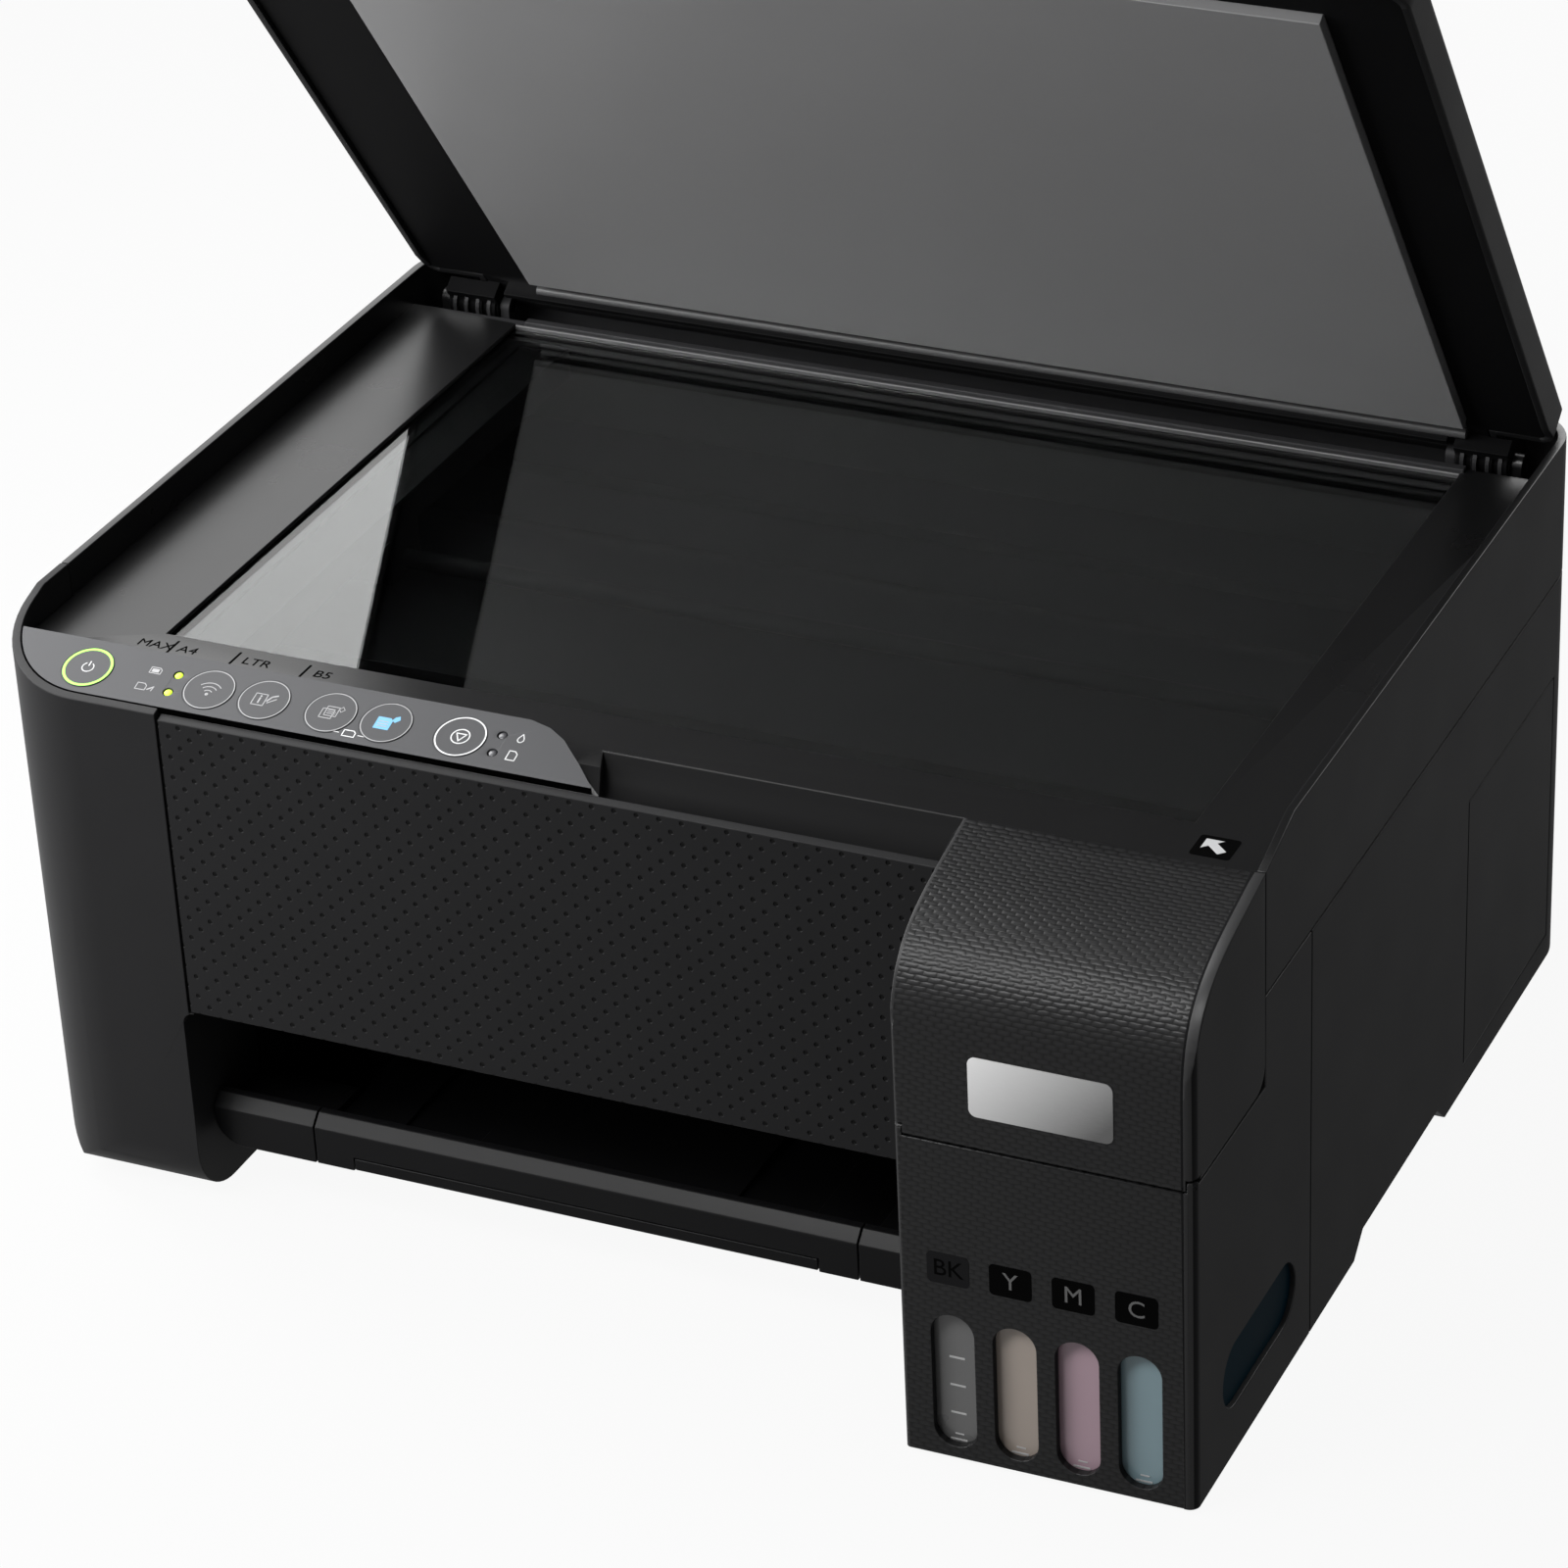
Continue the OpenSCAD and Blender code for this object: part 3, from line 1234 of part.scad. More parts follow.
module platen_glass() color([0.75, 0.8, 0.82, 0.35])
  block([glass_x0 - 4.7, glass_y0 - 2.7, glass_top_z - glass_t],
        [glass_x1 + 4.7, glass_y1 + 0.7, glass_top_z - 0.05]);

module scan_carriage() color(trim_black) {
  x0 = glass_x0 - 2;
  y0 = glass_y0 + 4;
  y1 = glass_y1 - 4;
  z1 = glass_top_z - glass_t - 0.4;
  difference() {
    union() {
      block([x0, y0, z1 - 10], [x0 + scan_w, y1, z1]);
      block([x0, -4, scan_rail_z - 5], [x0 + scan_w, 14, z1 - 9]);
    }
    bar_x(x0 - 1, x0 + scan_w + 1, scan_rail_y, scan_rail_z, scan_rail_r + run_gap);
    // Window of the image sensor
    block([x0 + scan_w / 2 - 4, y0 + 4, z1 - 1], [x0 + scan_w / 2 + 4, y1 - 4, z1 + 1]);
  }
}

// --- control panel ---

panel_tilt = atan(panel_fall);
button_y = front_y + 11.8;
// Names and places across the panel
buttons = [
  ["power_button", -half_w + 31], ["network_button", -half_w + 69.2], ["status_button", -half_w + 86.3],
  ["mono_copy_button", -half_w + 106.9], ["colour_copy_button", -half_w + 123.8],
  ["stop_button", -half_w + 146.3]
];

// Places a piece on the sloping panel, with Z along its normal
module on_panel(x, y = button_y) {
  translate([x, y, roof_z(y)]) rotate([panel_tilt, 0, 0]) children();
}

module control_panel() color(panel_grey) {
  difference() {
    intersection() {
      linear_extrude(height = rim_z) panel_plan();
      under_roof();
    }
    under_roof(panel_t);
    for (b = buttons)
      on_panel(b[1]) translate([0, 0, -4]) cylinder(h = 8, r = button_r + 0.3);
    // Holes for the status lights
    for (x = [-half_w + 57.9, -half_w + 157.4], s = [-1, 1])
      on_panel(x, button_y + 3.2 * s) translate([0, 0, -4]) cylinder(h = 8, r = 1.5, $fn = 24);
  }
}

module button(i) {
  on_panel(buttons[i][1]) {
    translate([0, 0, -panel_t - 0.7]) cylinder(h = panel_t + 0.85, r = button_r);
    translate([0, 0, -panel_t - 1.4]) cylinder(h = 1, r = button_r - 1.5);
  }
}
module power_button() color(panel_grey) button(0);
module network_button() color(panel_grey) button(1);
module status_button() color(panel_grey) button(2);
module mono_copy_button() color(panel_grey) button(3);
module colour_copy_button() color(panel_grey) button(4);
module stop_button() color(panel_grey) button(5);

// --- lid, drawn closed and swung open ---

lid_bottom_z = deck_z + 1.9;
lid_top_z = body_h;
lid_front_y = panel_back_y + lid_front_gap;
lid_neck_y = lid_y - 9;
lid_half = half_w - lid_side;
lid_rear_half = half_w - rear_r - 3;

// Lid outline from above, drawn in by inset: full width, with a narrower tail between the corners
module lid_plan(inset = 0) {
  difference() {
    translate([-lid_half + inset, lid_front_y + inset])
      square([2 * (lid_half - inset), lid_neck_y - lid_front_y - 2 * inset]);
    for (s = [-1, 1]) {
      corner_cut(s * (lid_half - inset), lid_front_y + inset, s, -1, 8 - inset);
      corner_cut(s * (lid_half - inset), lid_neck_y - inset, s, 1, 5 - inset);
    }
  }
  translate([-lid_rear_half + inset, 0]) square([2 * (lid_rear_half - inset), lid_y + 5.5 - inset]);
}

// Side view of the lid, drawn in by inset: rounded front edge and a rear edge that clears the rim
module lid_section(inset = 0) {
  z1 = lid_top_z - inset;
  y0 = lid_front_y + inset;
  difference() {
    polygon([
      [y0, deck_z + 0.5 - 2 * inset], [y0, z1], [lid_y - 10.5 - inset, z1],
      [lid_y + 3.6 - inset, lid_z + 8.6 - inset], [lid_y + 5.5 - inset, lid_z + 5 - inset],
      [lid_y + 5.5 - inset, lid_bottom_z - 2 * inset],
      [lid_y - 9, lid_bottom_z - 2 * inset], [lid_y - 12, deck_z + 1.9 - 2 * inset],
      [lid_y - 20, deck_z + 0.5 - 2 * inset]
    ]);
    corner_cut(y0, z1, -1, 1, 5 - inset);
  }
}

module lid_shell() color(body_black) on_lid() {
  difference() {
    lid_form(0);
    lid_form(wall);
    for (x = lid_barrel_x)
      bar_x(x[0] - 0.5, x[1] + 0.5, lid_y, lid_z, barrel_r + seat_gap);
  }
}

// Solid form of the lid, drawn in by inset
module lid_form(inset) {
  intersection() {
    translate([0, 0, deck_z - 10]) linear_extrude(height = 40) lid_plan(inset);
    along_x(-half_w, half_w) lid_section(inset);
    along_y(lid_front_y - 1, rear_y) difference() {
      translate([-lid_half + inset, deck_z - 10])
        square([2 * (lid_half - inset), lid_top_z - inset - deck_z + 10]);
      for (s = [-1, 1]) corner_cut(s * (lid_half - inset), lid_top_z - inset, s, 1, 4 - inset);
    }
  }
}

pad_x = [glass_x0 + 2.5, glass_x1 - 1.1];
pad_y = [glass_y0 + 1.2, lid_y - 15.4];
pad_z = [glass_top_z + 0.4, lid_bottom_z + 1.6];

module lid_inner() color(trim_black) on_lid() {
  arm_x = lid_rear_half - wall - seat_gap;
  z1 = lid_bottom_z + 2.2;
  difference() {
    union() {
      intersection() {
        linear_extrude(height = z1) lid_plan(wall + 0.2);
        block([-half_w, lid_front_y, lid_bottom_z], [half_w, lid_y + 1, z1]);
      }
      // Flange that closes the gap behind the glass
      along_x(glass_x0 - 8, glass_x1 - 7) polygon([
        [lid_y - 9.6, lid_z - 1], [lid_y - 7.4, lid_z - 1], [lid_y - 5, lid_bottom_z + eps],
        [lid_y - 9.6, lid_bottom_z + eps]
      ]);
      // Barrels with ribs, on arms
      for (x = lid_barrel_x) {
        bar_x(x[0], x[1], lid_y, lid_z, barrel_r - 1);
        for (i = [0:3])
          let (rib_x = x[0] + 0.6 + i * (x[1] - x[0] - 3.2) / 3)
            bar_x(rib_x, rib_x + 2, lid_y, lid_z, barrel_r);
        block([x[0], lid_y - 8, lid_z - 2], [x[1], lid_y, lid_bottom_z - seat_gap]);
        block([max(x[0], -arm_x), lid_y - 8, lid_z - 2], [min(x[1], arm_x), lid_y, lid_bottom_z + eps]);
        bar_x(x[0] - 2.8, x[1] + 2.8, lid_y, lid_z, lid_pin_r);
      }
    }
    // Recess for the pad
    block([pad_x[0] - 0.2, pad_y[0] - 0.2, 0], [pad_x[1] + 0.2, pad_y[1] + 0.2, lid_bottom_z + 1.6 + 0.05]);
  }
}

module lid_pad() color(panel_grey) on_lid()
  block([pad_x[0], pad_y[0], pad_z[0]], [pad_x[1], pad_y[1], pad_z[1]]);

base_pan();
rubber_feet();
left_cover();
right_cover();
service_cover();
rear_cover();
front_panel();
front_sill();
tank_housing();
ink_tank_black();
ink_tank_yellow();
ink_tank_magenta();
ink_tank_cyan();
filler_cap_black();
filler_cap_yellow();
filler_cap_magenta();
filler_cap_cyan();
tank_cover();
output_tray();
tray_extension();
exit_roller();
star_wheels();
feed_roller();
idler_gear();
motor_pinion();
feed_motor();
paper_platen();
pickup_roller();
main_frame();
print_carriage();
drive_pulley();
idler_pulley();
carriage_belt();
carriage_motor();
ink_tubes();
maintenance_station();
main_board();
power_supply();
mains_inlet();
usb_socket();
rear_feeder();
paper_support();
feeder_flap();
edge_guide_left();
edge_guide_right();
scanner_hinges();
scanner_top();
scanner_tub();
platen_glass();
scan_carriage();
control_panel();
power_button();
network_button();
status_button();
mono_copy_button();
colour_copy_button();
stop_button();
lid_shell();
lid_inner();
lid_pad();
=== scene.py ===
"""Looks for the inkjet printer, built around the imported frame.

Camera, lamps and floor are placed in metres. All other lengths are in millimetres, and MM turns
them into Blender's metres.
"""
import bmesh
import bpy
import json
import math
from mathutils import Matrix, Vector


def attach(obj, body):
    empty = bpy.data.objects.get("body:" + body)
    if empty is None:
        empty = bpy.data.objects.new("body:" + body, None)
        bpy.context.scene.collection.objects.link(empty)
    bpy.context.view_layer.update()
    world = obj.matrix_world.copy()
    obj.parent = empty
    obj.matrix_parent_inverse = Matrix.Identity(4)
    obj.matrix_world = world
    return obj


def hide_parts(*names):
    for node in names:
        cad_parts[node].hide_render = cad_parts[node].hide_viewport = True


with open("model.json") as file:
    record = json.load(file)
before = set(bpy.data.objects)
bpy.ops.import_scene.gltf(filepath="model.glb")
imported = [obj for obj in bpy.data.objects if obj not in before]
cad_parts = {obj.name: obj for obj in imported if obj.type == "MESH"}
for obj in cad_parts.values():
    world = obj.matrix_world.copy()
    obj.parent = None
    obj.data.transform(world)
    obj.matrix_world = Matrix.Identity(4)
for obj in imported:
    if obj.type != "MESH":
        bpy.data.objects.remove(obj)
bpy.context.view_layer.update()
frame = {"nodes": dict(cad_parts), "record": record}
scene = bpy.context.scene
MM = 0.001


# ---------------------------------------------------------------- camera, light and floor

FRAME_PX = 1600
FOCAL_PX = 5715.8
CENTRE_PX = (1001.51, 1001.08)  # where the camera's axis meets the frame, which was cropped
CAMERA_TURN = (-23.534, 31.441, -1.697)  # azimuth, elevation and roll in degrees
CAMERA_AT = (0.61276, -1.28163, 0.89242)

WORLD_GLOW = 0.11
FLOOR_TONE = 0.28
FLOOR_SEEN = (0.93, 0.4)  # whiteness of the floor to camera rays and to mirrored ones
FLOOR_HALF = 4  # half of the floor's side
FLOOR_DROP = 0.0004  # below the printer's feet
# Name, place, target, size, and power in watts
LAMPS = [
    ("key_left", (-0.58, 0.12, 0.85), (-0.1, 0.03, 0.15), (0.45, 0.45), 8),
    ("front_left", (-0.29, -0.78, 1.05), (0.1, -0.15, 0.14), (0.36, 0.36), 9),
    ("low_left", (-0.54, -0.4, 0.38), (-0.14, -0.13, 0.11), (0.55, 0.45), 6.5),
    ("pad_left", (-0.44, -0.02, 0.33), (-0.12, 0.22, 0.28), (0.2, 0.2), 1.6),
    ("back_left", (-0.78, 1.15, 0.98), (-0.1, 0, 0.16), (1.5, 1.2), 9),
    ("back_soft", (0.25, 1.2, 0.75), (0, 0.1, 0.15), (0.9, 0.9), 8),
]


def basis(right, up, back, at):
    """Matrix whose columns are three axes and a place."""
    m = Matrix((right, up, back)).transposed().to_4x4()
    m.translation = at
    return m


def make_camera():
    az, el, roll = (math.radians(v) for v in CAMERA_TURN)
    forward = Vector((math.sin(az) * math.cos(el), math.cos(az) * math.cos(el), -math.sin(el)))
    right = Vector((math.cos(az), -math.sin(az), 0))
    up = right.cross(forward)
    right, up = (
        math.cos(roll) * right + math.sin(roll) * up,
        math.cos(roll) * up - math.sin(roll) * right,
    )
    data = bpy.data.cameras.new("view_camera")
    data.sensor_width = 36
    data.lens = FOCAL_PX / FRAME_PX * data.sensor_width
    data.shift_x = (FRAME_PX / 2 - CENTRE_PX[0]) / FRAME_PX
    data.shift_y = (CENTRE_PX[1] - FRAME_PX / 2) / FRAME_PX
    data.clip_end = 30
    data.dof.use_dof = False
    camera = bpy.data.objects.new("view_camera", data)
    scene.collection.objects.link(camera)
    camera.matrix_world = basis(right, up, -forward, Vector(CAMERA_AT))
    scene.camera = camera


def area_light(name, place, target, size, power):
    data = bpy.data.lights.new(name, "AREA")
    data.shape = "RECTANGLE"
    data.size, data.size_y = size
    data.energy = power
    light = bpy.data.objects.new(name, data)
    scene.collection.objects.link(light)
    light.location = place
    light.visible_camera = False
    light.rotation_euler = (Vector(target) - Vector(place)).to_track_quat("-Z", "Y").to_euler()


def seen_weight(tree, camera, gloss):
    """Mix factor: one weight for camera rays, another for glossy and transmission rays."""
    path = tree.nodes.new("ShaderNodeLightPath")
    seen = None
    rays = ("Is Camera Ray", camera), ("Is Glossy Ray", gloss), ("Is Transmission Ray", gloss)
    for ray, weight in rays:
        part = tree.nodes.new("ShaderNodeMath")
        part.operation = "MULTIPLY_ADD"
        part.use_clamp = True
        tree.links.new(path.outputs[ray], part.inputs[0])
        part.inputs[1].default_value = weight
        part.inputs[2].default_value = 0
        if seen is not None:
            tree.links.new(seen, part.inputs[2])
        seen = part.outputs[0]
    return seen


def mix_by_ray(tree, weights, plain, white, out):
    """Sends out a plain shader, and a white one to the rays that see it directly or mirrored."""
    mix = tree.nodes.new("ShaderNodeMixShader")
    sources = seen_weight(tree, *weights), plain.outputs[0], white.outputs[0]
    for i, source in enumerate(sources):
        tree.links.new(source, mix.inputs[i])
    tree.links.new(mix.outputs[0], out.inputs["Surface"])


def make_stage():
    world = bpy.data.worlds.new("studio")
    scene.world = world
    world.use_nodes = True
    tree = world.node_tree
    soft = tree.nodes["Background"]
    soft.inputs["Color"].default_value = (1, 1, 1, 1)
    soft.inputs["Strength"].default_value = WORLD_GLOW
    white = tree.nodes.new("ShaderNodeBackground")
    white.inputs["Color"].default_value = (1, 1, 1, 1)
    white.inputs["Strength"].default_value = 1
    mix_by_ray(tree, (1, 1), soft, white, tree.nodes["World Output"])

    me = bpy.data.meshes.new("floor")
    s = FLOOR_HALF
    me.from_pydata([(-s, -s, 0), (s, -s, 0), (s, s, 0), (-s, s, 0)], [], [(0, 1, 2, 3)])
    floor = bpy.data.objects.new("floor", me)
    scene.collection.objects.link(floor)
    floor.location.z = -FLOOR_DROP
    mat = bpy.data.materials.new("floor_white")
    mat.use_nodes = True
    tree = mat.node_tree
    tree.nodes.remove(tree.nodes["Principled BSDF"])
    diffuse = tree.nodes.new("ShaderNodeBsdfDiffuse")
    diffuse.inputs["Color"].default_value = (FLOOR_TONE, FLOOR_TONE, FLOOR_TONE, 1)
    glow = tree.nodes.new("ShaderNodeEmission")
    glow.inputs["Color"].default_value = (1, 1, 1, 1)
    mix_by_ray(tree, FLOOR_SEEN, diffuse, glow, tree.nodes["Material Output"])
    floor.data.materials.append(mat)

    for lamp in LAMPS:
        area_light(*lamp)
    scene.view_settings.view_transform = "Standard"


make_camera()
make_stage()


# ---------------------------------------------------------------- materials

class Nodes:
    """Short way to add and join shader nodes."""

    def __init__(self, name):
        self.mat = bpy.data.materials.new(name)
        self.mat.use_nodes = True
        self.tree = self.mat.node_tree
        self.bsdf = self.tree.nodes["Principled BSDF"]
        self.coords = self.add("ShaderNodeTexCoord").outputs["Object"]

    def add(self, kind, values=None, **settings):
        node = self.tree.nodes.new(kind)
        for key, value in settings.items():
            setattr(node, key, value)
        for key, value in (values or {}).items():
            if hasattr(value, "is_linked"):
                self.tree.links.new(value, node.inputs[key])
            else:
                node.inputs[key].default_value = value
        return node

    def math(self, operation, a, b=0.0):
        return self.add("ShaderNodeMath", {0: a, 1: b}, operation=operation).outputs[0]

    def mix(self, a, b, factor):
        node = self.add("ShaderNodeMix", data_type="RGBA")
        for key, value in (("A", a), ("B", b), ("Factor", factor)):
            socket = node.inputs[key]
            if hasattr(value, "is_linked"):
                self.tree.links.new(value, socket)
            else:
                socket.default_value = value
        return [o for o in node.outputs if o.type == "RGBA"][0]

    def from_cell_centre(self, value):
        """Distance of a value from the middle of its cell, -0.5 to 0.5, where cells are 1 wide."""
        return self.math("SUBTRACT", self.math("FRACT", value), 0.5)

    def source(self, key):
        """The socket that feeds one of the surface's inputs."""
        return self.bsdf.inputs[key].links[0].from_socket

    def noise(self, scale, detail=2.0, vector=None):
        values = {"Vector": vector or self.coords, "Scale": scale, "Detail": detail}
        return self.add("ShaderNodeTexNoise", values).outputs["Fac"]

    def spread(self, value, low, high, start=0.0, end=1.0, **settings):
        """Turns values between start and end into values between low and high."""
        values = {"Value": value, "From Min": start, "From Max": end, "To Min": low, "To Max": high}
        return self.add("ShaderNodeMapRange", values, **settings).outputs["Result"]

    def bump(self, height, strength, distance, normal=None):
        values = {"Height": height, "Strength": strength, "Distance": distance}
        if normal is not None:
            values["Normal"] = normal
        return self.add("ShaderNodeBump", values).outputs["Normal"]

    def set(self, **values):
        for key, value in values.items():
            socket = self.bsdf.inputs[key.replace("_", " ")]
            if hasattr(value, "is_linked"):
                self.tree.links.new(value, socket)
            else:
                socket.default_value = value


def rgb(value, k=1.0):
    return (value[0] * k, value[1] * k, value[2] * k, 1)


GRAIN_DEPTH = 0.08
DIMPLE_PITCH = (3.3, 3.2)
DIMPLE_EDGE = (0.15, 0.27)  # radii, in parts of the pitch, between which a dimple's wall falls
DIMPLE_DEPTH = 0.5
# The tank cover's shoulder in profile: its arc's centre and radius
SHOULDER_Y = -138
SHOULDER_Z = 129.7
SHOULDER_R = 35.5
WEAVE_PITCH = (3.8, 1.42)
WEAVE_SHIFT = 0.47  # of a pillow, from each row to the next
WEAVE_WANDER = 0.9
WEAVE_DEPTH = 0.1


def moulded(name, colour, rough, grain=0.3, grain_mm=0.35, spec=0.5, wear=0.35, mottle=0.1):
    """Moulded plastic: clouded tone and gloss, fine grain, and edges rubbed a little paler."""
    n = Nodes(name)
    cloud = n.noise(38, 4)
    fine = n.noise(1 / (grain_mm * MM), 2)
    tone = n.mix(rgb(colour, 1 - mottle), rgb(colour, 1 + mottle), cloud)
    edge = n.add("ShaderNodeAttribute", attribute_name="rub").outputs["Fac"]
    rubbed = n.math("MULTIPLY", n.math("MULTIPLY", edge, wear), n.noise(120, 3))
    pale = tuple(c * 1.6 + 0.01 for c in colour)
    n.set(Base_Color=n.mix(tone, rgb(pale), rubbed))
    n.set(Roughness=n.spread(cloud, rough * 0.92, rough * 1.08))
    n.bsdf.inputs["Specular IOR Level"].default_value = spec
    n.set(Normal=n.bump(fine, grain, GRAIN_DEPTH * MM))
    return n


def emboss(n, height, depth, hollow_shade):
    """Adds a relief over a moulding's grain, with its hollows painted a darker tone as shade."""
    n.set(Normal=n.bump(height, 1.0, depth * MM, n.source("Normal")))
    n.set(Base_Color=n.mix(hollow_shade, n.source("Base Color"), height))


def dimpled(name, colour, rough):
    """Front panel: small round dimples on a diagonal lattice, with painted shade in their hollows.
    """
    n = moulded(name, colour, rough, grain=0.2, spec=0.08)
    split = n.add("ShaderNodeSeparateXYZ", {0: n.coords})
    u = n.math("DIVIDE", split.outputs["X"], DIMPLE_PITCH[0] * MM)
    v = n.math("DIVIDE", split.outputs["Z"], DIMPLE_PITCH[1] * MM)
    p = n.math("MULTIPLY", n.math("ADD", u, v), 0.5)
    q = n.math("MULTIPLY", n.math("SUBTRACT", u, v), 0.5)
    dp, dq = n.from_cell_centre(p), n.from_cell_centre(q)
    du = n.math("ADD", dp, dq)
    dv = n.math("SUBTRACT", dp, dq)
    d2 = n.math("ADD", n.math("MULTIPLY", du, du), n.math("MULTIPLY", dv, dv))
    dist = n.math("SQRT", d2)
    land = n.spread(dist, 0.0, 1.0, *DIMPLE_EDGE, interpolation_type="SMOOTHSTEP")
    # Painted shade: the dimples' hollows are nearly black
    emboss(n, land, DIMPLE_DEPTH, rgb(colour, 0.05))
    return n


def woven(name, colour, rough):
    """Tank unit: rows of long low pillows, which follow the cover over its shoulder, with painted
    shade between them.
    """
    n = moulded(name, colour, rough, grain=0.1, spec=0.19)
    split = n.add("ShaderNodeSeparateXYZ", {0: n.coords})
    over = n.math("SUBTRACT", split.outputs["Z"], SHOULDER_Z * MM)
    behind = n.math("SUBTRACT", split.outputs["Y"], SHOULDER_Y * MM)
    ahead = n.math("MULTIPLY", behind, -1)
    turn = n.math("ARCTAN2", n.math("MAXIMUM", over, 0), n.math("MAXIMUM", ahead, 0))
    run = n.math("ADD", n.math("MINIMUM", over, 0), n.math("MAXIMUM", behind, 0))
    run = n.math("ADD", run, n.math("MULTIPLY", turn, SHOULDER_R * MM))
    run = n.math("ADD", run, n.math("MULTIPLY", n.noise(260, 2), WEAVE_WANDER * MM))
    v = n.math("DIVIDE", run, WEAVE_PITCH[1] * MM)
    shift = n.math("MULTIPLY", n.math("FLOOR", v), WEAVE_SHIFT)
    u = n.math("ADD", n.math("DIVIDE", split.outputs["X"], WEAVE_PITCH[0] * MM), shift)
    across = n.math("POWER", n.math("ABSOLUTE", n.from_cell_centre(u)), 3)
    along = n.math("POWER", n.math("ABSOLUTE", n.from_cell_centre(v)), 2)
    pillow = n.math("MULTIPLY", n.math("SUBTRACT", 1, n.math("MULTIPLY", across, 8)),
                    n.math("SUBTRACT", 1, n.math("MULTIPLY", along, 4)))
    # Painted shade: the tone between the pillows is darker, so their tops read lighter
    emboss(n, pillow, WEAVE_DEPTH, rgb(colour, 0.25))
    return n


def foil_with_painted_sheen(name, bright, dark):
    """Silver plate of brushed foil with a painted sheen: its colour runs from bright at the upper
    left to dark towards its lower right corner.
    """
    n = Nodes(name)
    split = n.add("ShaderNodeSeparateXYZ", {0: n.coords})
    # Painted sheen: the colour darkens from the plate's upper left towards its lower right
    corner = n.math("SUBTRACT", split.outputs["X"], split.outputs["Z"])
    across = n.spread(corner, 0.0, 1.0, -4 * MM, 50 * MM)
    stretch = n.add("ShaderNodeMapping", {"Vector": n.coords, "Scale": (1, 1, 24)})
    streak = n.math("MULTIPLY", n.noise(300, 3, stretch.outputs[0]), 0.08)
    tone = n.mix(rgb((bright,) * 3), rgb((dark,) * 3), n.math("ADD", across, streak))
    n.set(Base_Color=tone, Roughness=0.42, Metallic=0.35)
    return n


def metal(name, colour, rough, brushed):
    """Steel with fine streaks; brushed is how much the grain is squeezed along each axis."""
    n = Nodes(name)
    stretch = n.add("ShaderNodeMapping", {"Vector": n.coords, "Scale": brushed})
    streak = n.noise(600, 3, stretch.outputs[0])
    n.set(Base_Color=n.mix(rgb(colour, 0.9), rgb(colour, 1.05), streak), Metallic=1.0,
          Roughness=n.spread(streak, rough * 0.8, rough * 1.25))
    return n


def print_ink(name, colour, rough=0.45, glow=0.0):
    """Printed ink, or a lit lamp where it glows."""
    n = Nodes(name)
    tone = n.mix(rgb(colour, 0.94), rgb(colour, 1.04), n.noise(700, 2))
    n.set(Base_Color=tone, Roughness=rough)
    if glow:
        n.bsdf.inputs["Emission Color"].default_value = rgb(colour)
        n.bsdf.inputs["Emission Strength"].default_value = glow
    return n


def glass(name):
    n = Nodes(name)
    tint = n.mix((0.86, 0.9, 0.89, 1), (0.92, 0.95, 0.94, 1), n.noise(30, 3))
    n.set(Base_Color=tint, Roughness=0.0, Transmission_Weight=1.0, IOR=1.4)
    return n


MAT = {}


def add_material(make, name, *values, **settings):
    MAT[name] = make(name, *values, **settings).mat


BLACK = (0.009, 0.009, 0.0095)
add_material(moulded, "body_black", (0.0105, 0.0105, 0.011), 0.45, spec=0.08)
# Painted shade: a darker, less glossy copy of the body's black, for faces that look sideways
add_material(moulded, "side_black", BLACK, 0.5, spec=0.035)
add_material(dimpled, "front_dimpled", BLACK, 0.45)
add_material(woven, "tank_grain", (0.0105, 0.0105, 0.011), 0.34)
add_material(moulded, "deck_black", (0.006, 0.006, 0.0062), 0.28, grain=0.2, spec=0.24)
add_material(moulded, "lid_black", (0.0075, 0.0075, 0.0078), 0.5, spec=0.06)
add_material(moulded, "inner_black", (0.0035, 0.0035, 0.0037), 0.6, spec=0.02, grain=0.2)
add_material(moulded, "tray_black", (0.0035, 0.0035, 0.0038), 0.35, grain=0.12, spec=0.09)
add_material(moulded, "panel_grey", (0.05, 0.0505, 0.053), 0.5, grain=0.12, wear=0.1, mottle=0.03,
             spec=0.1)
add_material(moulded, "pad_grey", (0.16, 0.16, 0.162), 0.35, grain=0.05, wear=0.1, mottle=0.03,
             spec=0.2)
add_material(moulded, "ink_black", (0.105, 0.105, 0.105), 0.28, grain=0.1, mottle=0.05)
add_material(moulded, "ink_yellow", (0.31, 0.265, 0.232), 0.28, grain=0.1, mottle=0.05)
add_material(moulded, "ink_magenta", (0.355, 0.247, 0.29), 0.28, grain=0.1, mottle=0.05)
add_material(moulded, "ink_cyan", (0.185, 0.265, 0.295), 0.28, grain=0.1, mottle=0.05)
add_material(moulded, "cap_black", (0.02, 0.02, 0.02), 0.5)
add_material(moulded, "cap_yellow", (0.6, 0.42, 0.02), 0.45)
add_material(moulded, "cap_magenta", (0.42, 0.01, 0.14), 0.45)
add_material(moulded, "cap_cyan", (0.01, 0.22, 0.45), 0.45)
add_material(moulded, "rubber", (0.015, 0.015, 0.015), 0.75, grain=0.4)
add_material(metal, "steel", (0.52, 0.52, 0.53), 0.32, (1, 8, 8))
add_material(moulded, "roller_steel", (0.03, 0.03, 0.032), 0.6)
add_material(moulded, "nylon", (0.7, 0.69, 0.64), 0.45, grain=0.1)
add_material(moulded, "board_green", (0.01, 0.08, 0.03), 0.35, grain=0.5, grain_mm=1.5)
add_material(moulded, "supply_black", (0.02, 0.02, 0.021), 0.5)
add_material(glass, "glass")
add_material(foil_with_painted_sheen, "plate_silver", 0.8, 0.1)
